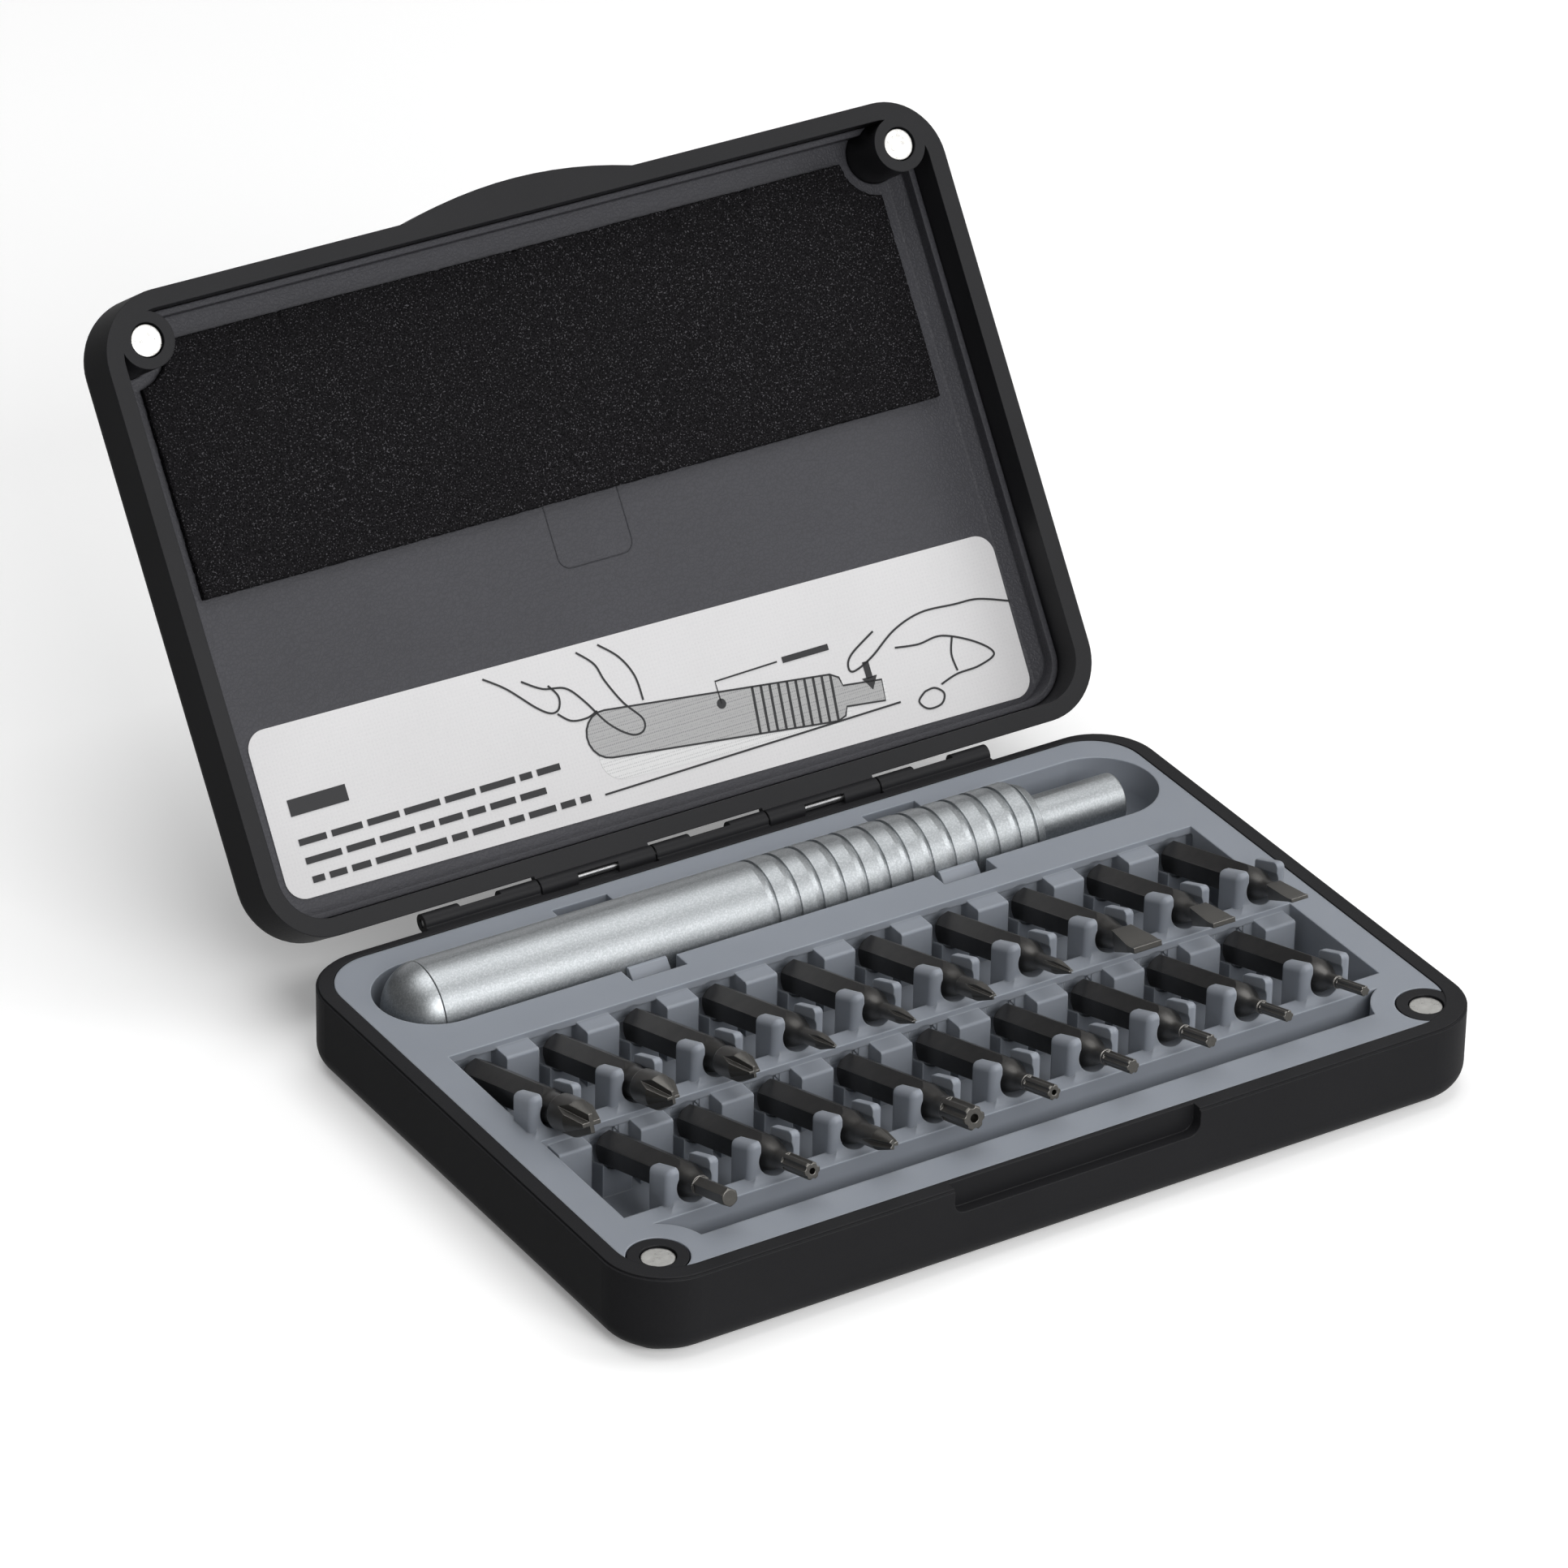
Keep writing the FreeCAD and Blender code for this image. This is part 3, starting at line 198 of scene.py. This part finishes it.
def liner_grey():
    m = Finish("liner_grey", IOR=1.47, Specular_IOR_Level=0.28)
    _, rounded = m.edge(0.35)
    wander = m.vector("ADD", m.here, m.noise(0.9, 2, 0.5, output="Color"))
    cells = m.node("TexVoronoi", {"Vector": wander, "Scale": 1.9}, output="Distance",
                   feature="DISTANCE_TO_EDGE")
    pebble = m.ramp(cells, 0.0, 0.28)
    fine = m.noise(6.0, 2, 0.5)
    height = m.math("ADD", m.math("MULTIPLY", pebble, 0.7), m.math("MULTIPLY", fine, 0.5))
    base = m.mix(m.noise(0.05, 3, 0.6), colour(58, 58, 62), colour(66, 66, 71))
    # Painted shade: the base colour darkens in the grooves between the pebbles of the grain.
    base = m.mix(m.ramp(pebble, 0.0, 0.5, 0.35, 0.0), base, colour(42, 42, 45))
    return m.finish(Base_Color=base, Roughness=m.ramp(fine, 0.3, 0.7, 0.42, 0.56),
                    Normal=m.bump(height, 0.045, rounded, 0.7))


def foam_black():
    m = Finish("foam_black", IOR=1.4, Specular_IOR_Level=0.08)
    pores = m.node("TexVoronoi", {"Vector": m.here, "Scale": 3.4}, output="Distance")
    fibre = m.noise(6.5, 4, 0.7)
    # Painted shade inside the pores, multiplied by a random fibre tone; it darkens the foam's base colour.
    pore_shade_and_fibre_tone = m.math("MULTIPLY", m.ramp(pores, 0.05, 0.6), m.ramp(fibre, 0.3, 0.7, 0.25, 1.0))
    base = m.mix(pore_shade_and_fibre_tone, colour(7, 7, 8), colour(32, 31, 33))
    base = m.mix(m.ramp(m.noise(4.6, 1, 0.5), 0.62, 0.70, 0, 0.9), base, colour(78, 77, 80))
    return m.finish(Base_Color=base, Roughness=m.ramp(fibre, 0.3, 0.7, 0.8, 0.98),
                    Normal=m.bump(m.math("ADD", pores, fibre), 0.12, None, 0.8))


def lid_plane(m):
    """Coordinates in millimetres in the plane of the shut lid, for a node drawn open."""
    return m.node("Mapping", {"Vector": m.here, "Rotation": (math.radians(LID_SWING), 0, 0)})


def label_silver():
    m = Finish("label_silver", IOR=1.5, Specular_IOR_Level=0.5)
    flat = lid_plane(m)
    weave_a = m.node("TexWave", {"Vector": flat, "Scale": 0.62}, output="Fac", bands_direction="X")
    weave_b = m.node("TexWave", {"Vector": flat, "Scale": 0.62}, output="Fac", bands_direction="Y")
    mesh = m.math("MULTIPLY", weave_a, weave_b)
    fine = m.noise(4.5, 3, 0.6)
    cloud = m.noise(0.08, 2, 0.5)
    base = m.mix(cloud, colour(196, 195, 196), colour(204, 203, 204))
    base = m.mix(m.ramp(mesh, 0.25, 1.0, 0.0, 0.22), base, colour(178, 178, 181))
    base = m.mix(m.ramp(fine, 0.35, 0.7, 0.0, 0.25), base, colour(216, 216, 216))
    return m.finish(Base_Color=base, Roughness=m.ramp(fine, 0.3, 0.7, 0.32, 0.5),
                    Normal=m.bump(m.math("ADD", mesh, fine), 0.006, None, 0.6))


def print_ink():
    m = Finish("print_ink", IOR=1.45, Specular_IOR_Level=0.35)
    fine = m.noise(7.0, 3, 0.6)
    base = m.mix(fine, colour(34, 34, 36), colour(50, 50, 52))
    return m.finish(Base_Color=base, Roughness=m.ramp(fine, 0.3, 0.7, 0.45, 0.6),
                    Normal=m.bump(fine, 0.004, None, 0.5))


def print_tint(name, value):
    m = Finish(name, IOR=1.45, Specular_IOR_Level=0.35)
    dots = m.node("TexVoronoi", {"Vector": lid_plane(m), "Scale": 3.6, "Randomness": 0.15},
                  output="Distance")
    fine = m.noise(5.0, 3, 0.6)
    base = m.mix(m.ramp(dots, 0.2, 0.45), colour(value - 22, value - 22, value - 20),
                 colour(value + 14, value + 14, value + 14))
    base = m.mix(m.ramp(fine, 0.3, 0.7, 0.0, 0.3), base, colour(value, value, value))
    return m.finish(Base_Color=base, Roughness=m.ramp(fine, 0.3, 0.7, 0.4, 0.55),
                    Normal=m.bump(fine, 0.004, None, 0.5))


def magnet_nickel():
    m = Finish("magnet_nickel", Metallic=1.0)
    _, rounded = m.edge(0.2)
    mottle = m.noise(1.6, 4, 0.65)
    fine = m.noise(9.0, 2, 0.6)
    base = m.mix(mottle, colour(222, 221, 217), colour(240, 239, 235))
    return m.finish(Base_Color=base, Roughness=m.ramp(mottle, 0.3, 0.7, 0.24, 0.42),
                    Normal=m.bump(fine, 0.006, rounded, 0.6))


def pin_steel():
    m = Finish("pin_steel", Metallic=1.0)
    drawn = m.noise(3.0, 3, 0.6, at=m.vector("MULTIPLY", m.here, (0.15, 6.0, 6.0)))
    base = m.mix(drawn, colour(196, 196, 198), colour(230, 230, 230))
    return m.finish(Base_Color=base, Roughness=m.ramp(drawn, 0.3, 0.7, 0.18, 0.34),
                    Normal=m.bump(drawn, 0.004, None, 0.5))


def handle_aluminium():
    m = Finish("handle_aluminium", Metallic=1.0)
    painted_edge_highlight, rounded = m.edge(0.12)
    blast = m.noise(7.0, 3, 0.7)
    speck = m.noise(4.2, 2, 0.6)
    cloud = m.noise(0.09, 3, 0.5)
    base = m.mix(cloud, colour(166, 170, 173), colour(176, 180, 182))
    base = m.mix(m.ramp(speck, 0.4, 0.75, 0, 0.5), base, colour(222, 225, 227))
    base = m.mix(m.ramp(blast, 0.3, 0.5, 0.5, 0), base, colour(150, 154, 158))
    # Painted highlight: the aluminium base colour turns brighter along the sharp edges.
    base = m.mix(m.math("MULTIPLY", painted_edge_highlight, 0.6), base, colour(232, 234, 235))
    return m.finish(Base_Color=base, Roughness=m.ramp(blast, 0.3, 0.7, 0.34, 0.5),
                    Normal=m.bump(blast, 0.022, rounded, 0.6))


def socket_steel():
    m = Finish("socket_steel", Metallic=1.0)
    _, rounded = m.edge(0.12)
    turned = m.noise(2.0, 3, 0.6, at=m.vector("MULTIPLY", m.here, (7.0, 0.6, 0.6)))
    base = m.mix(turned, colour(150, 150, 152), colour(184, 184, 186))
    return m.finish(Base_Color=base, Roughness=m.ramp(turned, 0.3, 0.7, 0.26, 0.42),
                    Normal=m.bump(turned, 0.006, rounded, 0.5))


def bit_steel():
    """Dark hardened shank that turns bright toward the working end; Generated Y is 0 at the tip."""
    m = Finish("bit_steel", Metallic=1.0)
    painted_edge_highlight, rounded = m.edge(0.14, 0.03, 0.4)
    along = m.node("SeparateXYZ", {0: m.coords.outputs["Generated"]}, output=1)
    blast = m.noise(8.0, 3, 0.65)
    cloud = m.noise(0.5, 3, 0.6)
    shank = m.mix(cloud, colour(74, 73, 73), colour(90, 89, 88))
    tip = m.mix(blast, colour(96, 95, 92), colour(126, 124, 120))
    waver = m.math("MULTIPLY", m.math("SUBTRACT", cloud, 0.5), 0.12)
    reach = m.ramp(m.math("ADD", along, waver), 0.40, 0.08)
    base = m.mix(reach, shank, tip)
    base = m.mix(m.ramp(blast, 0.55, 0.75, 0, 0.3), base, colour(118, 117, 115))
    # Painted highlight: the steel base colour turns near-white along the sharp edges of the hex.
    base = m.mix(m.math("MULTIPLY", painted_edge_highlight, 0.75), base, colour(205, 202, 197))
    return m.finish(Base_Color=base, Roughness=m.ramp(blast, 0.3, 0.7, 0.33, 0.47),
                    Normal=m.bump(blast, 0.012, rounded, 0.5))


FINISHES = {
    "shell_black": shell_black(),
    "tray_grey": tray_grey(),
    "liner_grey": liner_grey(),
    "foam_black": foam_black(),
    "label_silver": label_silver(),
    "magnet_nickel": magnet_nickel(),
    "pin_steel": pin_steel(),
    "handle_aluminium": handle_aluminium(),
    "socket_steel": socket_steel(),
    "bit_steel": bit_steel(),
}


def paint(obj, mat):
    obj.data.materials.clear()
    obj.data.materials.append(mat)


for part in frame["record"]["subparts"]:
    paint(NODES[part["node"]], FINISHES[part["material_slot"]])


# ---------------------------------------------------------------- foam pad in the lid

# Millimetres; NICKS holds the places along the hinge of the cuts in the front edge.
FOAM_VOXEL = 0.30
PIT_DEPTH = 0.16
PINHOLE_DEPTH = 0.10
SWELL = 0.05
NICKS = (-33.0, -10.1, 0.4, 11.6, 22.9, 33.8)
NICK_LENGTH = 3.7
NICK_WIDTH = 0.22
NICK_DEPTH = 0.35
NICK_WAVER = 0.12


def new_object(name, mesh):
    obj = bpy.data.objects.new(name, mesh)
    SCENE.collection.objects.link(obj)
    return obj


def foam_sheet():
    """Die-cut strip of open-cell foam: pressed-in edges, a pitted skin and nicks along the front edge."""
    mesh = NODES["foam_pad"].data.copy()
    mesh.transform(TO_SHUT)
    obj = new_object("foam_sheet", mesh)
    remesh = obj.modifiers.new("remesh", "REMESH")
    remesh.mode = "VOXEL"
    remesh.voxel_size = FOAM_VOXEL * MM
    mesh = bpy.data.meshes.new_from_object(obj.evaluated_get(bpy.context.evaluated_depsgraph_get()))
    obj.modifiers.clear()
    obj.data = mesh
    low, high = shut_box("foam_pad")
    co = np.zeros(len(mesh.vertices) * 3)
    mesh.vertices.foreach_get("co", co)
    co = co.reshape(-1, 3)
    normals = np.zeros(len(mesh.vertices) * 3)
    mesh.vertices.foreach_get("normal", normals)
    normals = normals.reshape(-1, 3)
    for i, p in enumerate(co):
        at = Vector(p) / MM
        pit = max(0.0, noise.noise(at * 1.55)) * PIT_DEPTH
        pinhole = abs(noise.noise(at * 2.9 + Vector((7, 3, 5)))) * PINHOLE_DEPTH
        swell = SWELL + SWELL * noise.noise(at * 0.09)
        sink = pit + pinhole + swell
        front = (p[1] - low[1]) / MM
        if front < NICK_LENGTH:
            for x in NICKS:
                across = (p[0] / MM - x - NICK_WAVER * noise.noise(at * 0.7)) / NICK_WIDTH
                sink += NICK_DEPTH * math.exp(-across * across) * (1 - front / NICK_LENGTH) ** 0.5
        co[i] = p - normals[i] * sink * MM
    co = np.clip(co, low, high)
    mesh.vertices.foreach_set("co", co.ravel())
    mesh.update()
    for poly in mesh.polygons:
        poly.use_smooth = True
    obj.matrix_world = TO_OPEN
    paint(obj, FINISHES["foam_black"])
    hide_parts("foam_pad")
    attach(obj, "lid")
    return obj


foam_sheet()


# ---------------------------------------------------------------- print on the label

LABEL_LOW, LABEL_HIGH = shut_box("label")
INK_THICKNESS = 0.03 * MM
OUTLINE_PEN = 0.24
GROOVE_PEN = 0.36
SKETCH_PEN = 0.26
LEADER_PEN = 0.22
ARROW_PEN = 0.9


class Print:
    """Flat ink shapes on the label, drawn in millimetres: x along the hinge, v away from it."""

    def __init__(self, name, mat, layer):
        self.mesh = bmesh.new()
        self.name = name
        self.mat = mat
        self.level = LABEL_LOW[2] - layer * INK_THICKNESS

    def place(self, x, v, drop):
        return Vector((x * MM, HINGE.y - v * MM, self.level - drop))

    def area(self, points):
        """A filled outline with its thickness."""
        top = [self.mesh.verts.new(self.place(x, v, 0)) for x, v in points]
        low = [self.mesh.verts.new(self.place(x, v, INK_THICKNESS)) for x, v in points]
        self.mesh.faces.new(top)
        self.mesh.faces.new(low[::-1])
        for i in range(len(points)):
            j = (i + 1) % len(points)
            self.mesh.faces.new((top[j], top[i], low[i], low[j]))

    def line(self, points, width, closed=False):
        """A ribbon along the points."""
        count = len(points)
        left, right = [], []
        for i, (x, v) in enumerate(points):
            if closed:
                before, after = points[i - 1], points[(i + 1) % count]
            else:
                before, after = points[max(i - 1, 0)], points[min(i + 1, count - 1)]
            dx, dv = after[0] - before[0], after[1] - before[1]
            size = math.hypot(dx, dv) or 1.0
            nx, nv = -dv / size * width / 2, dx / size * width / 2
            left.append((x + nx, v + nv))
            right.append((x - nx, v - nv))
        for i in range(count if closed else count - 1):
            j = (i + 1) % count
            self.area([left[i], left[j], right[j], right[i]])

    def bar(self, left, right, low, high):
        """An upright rectangle."""
        self.area([(left, low), (right, low), (right, high), (left, high)])

    def disc(self, x, v, radius, sides=20):
        turns = [math.tau * i / sides for i in range(sides)]
        self.area([(x + radius * math.cos(a), v + radius * math.sin(a)) for a in turns])

    def done(self):
        bmesh.ops.remove_doubles(self.mesh, verts=self.mesh.verts, dist=1e-8)
        bmesh.ops.recalc_face_normals(self.mesh, faces=self.mesh.faces)
        bmesh.ops.triangulate(self.mesh, faces=self.mesh.faces)
        mesh = bpy.data.meshes.new(self.name)
        self.mesh.to_mesh(mesh)
        self.mesh.free()
        obj = new_object(self.name, mesh)
        obj.matrix_world = TO_OPEN
        paint(obj, self.mat)
        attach(obj, "lid")
        return obj


def smooth(points, steps=8):
    """An open Catmull-Rom line through the points."""
    count = len(points)
    result = []
    for i in range(count - 1):
        around = [min(max(i + k, 0), count - 1) for k in (-1, 0, 1, 2)]
        p = [points[k] for k in around]
        for s in range(steps):
            t = s / steps
            result.append(tuple(
                0.5 * (2 * p[1][a] + (p[2][a] - p[0][a]) * t
                       + (2 * p[0][a] - 5 * p[1][a] + 4 * p[2][a] - p[3][a]) * t * t
                       + (3 * p[1][a] - p[0][a] - 3 * p[2][a] + p[3][a]) * t ** 3) for a in (0, 1)))
    result.append(points[-1])
    return result


def turned(at, turn, x, y):
    """A point given in a frame that sits at `at` and is turned by `turn`."""
    c, s = math.cos(turn), math.sin(turn)
    return at[0] + x * c - y * s, at[1] + x * s + y * c


BODY_SHARE = 0.83
SHOULDER = ((1.2, 0.82), (1.6, 0.45))
DRAWN_RADIUS = 3.0


def handle_points(at, turn, length, steps=10):
    """Outline of a handle seen from the side: domed tail at `at`, straight body, stepped nose."""
    radius = DRAWN_RADIUS
    body = length * BODY_SHARE
    (near, wide), (far, slim) = SHOULDER
    outline = []
    for i in range(steps + 1):
        a = math.pi / 2 + math.pi * i / steps
        outline.append((radius + radius * math.cos(a), radius * math.sin(a)))
    side = [(body, radius), (body + near, radius * wide), (body + far, radius * slim),
            (length, radius * slim)]
    outline += [(x, -y) for x, y in side] + side[::-1]
    return [turned(at, turn, x, y) for x, y in outline]


def label_print():
    """A pictogram of the handle tipping out of its seat, and bars where a text block would be."""
    ink = Print("label_ink", print_ink(), 2)
    tint = Print("label_tint", print_tint("print_tint", 150), 1)
    ghost = Print("label_ghost", print_tint("print_ghost", 196), 0)
    turn = -math.radians(TIPPED)
    tint.area(handle_points(TIPPED_TAIL, turn, DRAWN_LENGTH))
    ghost.area(handle_points(SEATED_TAIL, -math.radians(SEATED), DRAWN_LENGTH - 0.6))
    ink.line(handle_points(TIPPED_TAIL, turn, DRAWN_LENGTH), OUTLINE_PEN, closed=True)
    for i in range(10):
        along = 24.0 + i * 1.25
        ends = [turned(TIPPED_TAIL, turn, along, y) for y in (-DRAWN_RADIUS, DRAWN_RADIUS)]
        ink.line(ends, GROOVE_PEN)
    ink.line([(-8.2, 8.6), (35.6, 9.2)], SKETCH_PEN)
    ink.disc(11.0, 15.4, 0.65)
    ink.line([(11.0, 15.4), (11.0, 18.3), (20.2, 18.5)], LEADER_PEN)
    ink.bar(21.0, 27.8, 18.1, 18.9)
    ink.line([(32.3, 15.4), (32.3, 13.2)], ARROW_PEN)
    ink.area([(31.2, 13.4), (32.3, 11.7), (33.4, 13.4)])
    for hand in HANDS:
        ink.line(smooth(hand), SKETCH_PEN)
    ink.bar(-50.1, -42.0, 16.9, 19.0)
    dice = random.Random(5)
    for row, (start, end) in enumerate(BAR_ROWS):
        x, v = start, FIRST_ROW - row * ROW_PITCH
        while x < end - SHORTEST_BAR:
            width = min(dice.uniform(1.6, 5.2), end - x)
            ink.bar(x, x + width, v - BAR_HALF, v + BAR_HALF)
            x += width + BAR_GAP
    for p in (ghost, tint, ink):
        p.done()


# The drawn handle: degrees of turn and place of the tail, tipped out and still seated.
TIPPED, TIPPED_TAIL = 6.5, (-8.4, 16.1)
SEATED, SEATED_TAIL = 2.2, (-7.6, 12.9)
DRAWN_LENGTH = 42.4
# Rows of bars: where each starts and ends along the hinge, and their places away from it.
BAR_ROWS = ((-50.1, -12.4), (-49.9, -14.8), (-49.7, -10.2))
FIRST_ROW, ROW_PITCH = 13.6, 2.4
BAR_HALF, BAR_GAP, SHORTEST_BAR = 0.42, 0.75, 0.8
# Strokes of the two hands that hold the handle.
HANDS = (
    ((-20.0, 26.6), (-17.2, 24.6), (-14.0, 21.4), (-12.2, 20.2), (-11.0, 20.5), (-10.6, 22.0),
     (-11.6, 23.6)),
    ((-15.0, 25.0), (-12.4, 23.4), (-9.4, 22.7), (-7.4, 20.6), (-5.0, 17.0), (-2.4, 14.9), (-0.6, 14.9),
     (-0.2, 16.4), (-2.2, 19.0), (-3.8, 22.2), (-4.6, 24.6), (-6.6, 26.6)),
    ((-3.4, 26.8), (-1.0, 24.6), (0.4, 21.8), (0.6, 18.6)),
    ((-11.4, 19.9), (-9.8, 18.6), (-7.6, 18.4), (-6.0, 18.9)),
    ((55.0, 17.6), (50.6, 19.0), (47.0, 19.2), (42.0, 19.4), (37.6, 18.2), (33.4, 15.7), (30.4, 14.6),
     (29.8, 15.4), (30.8, 16.8), (34.6, 18.8)),
    ((37.0, 16.0), (40.4, 15.6), (44.0, 15.8), (48.4, 13.9), (50.6, 11.8), (48.0, 10.8), (44.6, 10.6),
     (42.0, 9.9)),
    ((45.4, 15.4), (44.6, 13.2), (44.8, 11.0)),
    ((39.4, 9.6), (38.2, 8.6), (39.2, 7.4), (41.2, 7.5), (42.0, 8.7), (40.9, 9.7), (39.4, 9.6)),
)
label_print()


# ---------------------------------------------------------------- moulded outline in the liner

# Millimetres: across the hinge's direction from the middle, and away from the hinge.
OUTLINE_MIDDLE, OUTLINE_HALF, OUTLINE_CORNER = 0.2, 5.35, 1.6
OUTLINE_NEAR, OUTLINE_FAR = 36.9, 47.0
OUTLINE_SUNK = 0.15
OUTLINE_RIDGE = 0.09


def liner_outline():
    """Low rounded-square ridge moulded in the middle of the liner, running under the foam."""
    low, _ = shut_box("label")
    level = low[2] + OUTLINE_SUNK * MM
    inner = OUTLINE_HALF - OUTLINE_CORNER
    points = [(OUTLINE_MIDDLE - OUTLINE_HALF, OUTLINE_FAR)]
    for side, start in ((-1, math.pi), (1, -math.pi / 2)):
        for i in range(7):
            a = start + math.pi / 2 * i / 6
            x = OUTLINE_MIDDLE + side * inner + OUTLINE_CORNER * math.cos(a)
            points.append((x, OUTLINE_NEAR + OUTLINE_CORNER + OUTLINE_CORNER * math.sin(a)))
    points.append((OUTLINE_MIDDLE + OUTLINE_HALF, OUTLINE_FAR))
    curve = bpy.data.curves.new("liner_outline", "CURVE")
    curve.dimensions = "3D"
    curve.bevel_depth = OUTLINE_RIDGE * MM
    curve.bevel_resolution = 2
    curve.use_fill_caps = True
    line = curve.splines.new("POLY")
    line.points.add(len(points) - 1)
    for point, (x, v) in zip(line.points, points):
        point.co = (x * MM, HINGE.y - v * MM, level, 1.0)
    obj = new_object("liner_outline", curve)
    obj.matrix_world = TO_OPEN
    paint(obj, FINISHES["liner_grey"])
    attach(obj, "lid")


liner_outline()


# ---------------------------------------------------------------- floor, lights and camera

def studio():
    bpy.ops.mesh.primitive_plane_add(size=FLOOR_SIZE, location=(0, 0, CAD_BOX[0].z))
    floor = bpy.context.object
    floor.name = "floor"
    m = Finish("floor", Specular_IOR_Level=0.1)
    paper = m.mix(m.noise(0.01, 2), colour(242, 242, 242), colour(245, 245, 245))
    m.finish(Base_Color=paper, Roughness=0.9, Emission_Color=(1, 1, 1, 1), Emission_Strength=FLOOR_GLOW)
    paint(floor, m.mat)
    floor.visible_glossy = False
    world = bpy.data.worlds.new("studio")
    world.use_nodes = True
    nodes, links = world.node_tree.nodes, world.node_tree.links
    sky = nodes["Background"]
    sky.inputs[1].default_value = WORLD_LIGHT
    where = nodes.new("ShaderNodeTexCoord")
    split = nodes.new("ShaderNodeSeparateXYZ")
    fade = nodes.new("ShaderNodeMapRange")
    fade.inputs["From Min"].default_value, fade.inputs["From Max"].default_value = SKY_FADE
    fade.inputs["To Min"].default_value = DARK_SIDE
    links.new(where.outputs["Generated"], split.inputs[0])
    links.new(split.outputs["X"], fade.inputs["Value"])
    links.new(fade.outputs[0], sky.inputs[0])
    SCENE.world = world
    for name, place, aim, size, power in LIGHTS:
        lamp = bpy.data.lights.new(name, "AREA")
        lamp.shape = "RECTANGLE"
        lamp.size, lamp.size_y = size
        lamp.energy = power
        obj = new_object(name, lamp)
        obj.location = place
        obj.rotation_mode = "QUATERNION"
        obj.rotation_quaternion = (Vector(aim) - Vector(place)).to_track_quat("-Z", "Y")


def camera():
    data = bpy.data.cameras.new("camera")
    data.sensor_width = SENSOR
    data.lens = FOCAL_PIXELS / PICTURE_PIXELS * SENSOR
    data.clip_start, data.clip_end = 0.01, 20.0
    obj = new_object("camera", data)
    turn = Matrix([CAMERA_RIGHT, [-v for v in CAMERA_DOWN], [-v for v in CAMERA_AHEAD]]).transposed()
    obj.matrix_world = Matrix.Translation(CAMERA_PLACE) @ turn.to_4x4()
    SCENE.camera = obj


FLOOR_SIZE = 6.0
FLOOR_GLOW = 0.2
# The sky is dimmer toward -X: its level there, and where along X it fades in.
WORLD_LIGHT = 0.4
DARK_SIDE = 0.25
SKY_FADE = (-0.5, 0.4)
# Name, place, point aimed at, width and height, power.
LIGHTS = (
    ("top", (0.0, 0.1, 0.8), (0, 0, 0.02), (0.8, 0.6), 3.4),
    ("right", (0.75, -0.35, 0.45), (0, 0, 0.03), (0.5, 0.5), 2.2),
    ("front", (-0.05, -0.95, 0.6), (0, 0, 0.04), (0.8, 0.45), 8.0),
)
# The solved camera: focal length and picture width in pixels, then place and axes in metres.
FOCAL_PIXELS = 10480.5
PICTURE_PIXELS = 1932
SENSOR = 36.0
CAMERA_PLACE = (-0.4792195, -0.7282711, 0.5488731)
CAMERA_RIGHT = (0.84871484, -0.52859842, 0.01633493)
CAMERA_DOWN = (-0.25464647, -0.43554012, -0.86340025)
CAMERA_AHEAD = (0.46350652, 0.72862097, -0.50425508)
studio()
camera()
SCENE.view_settings.view_transform = "Standard"
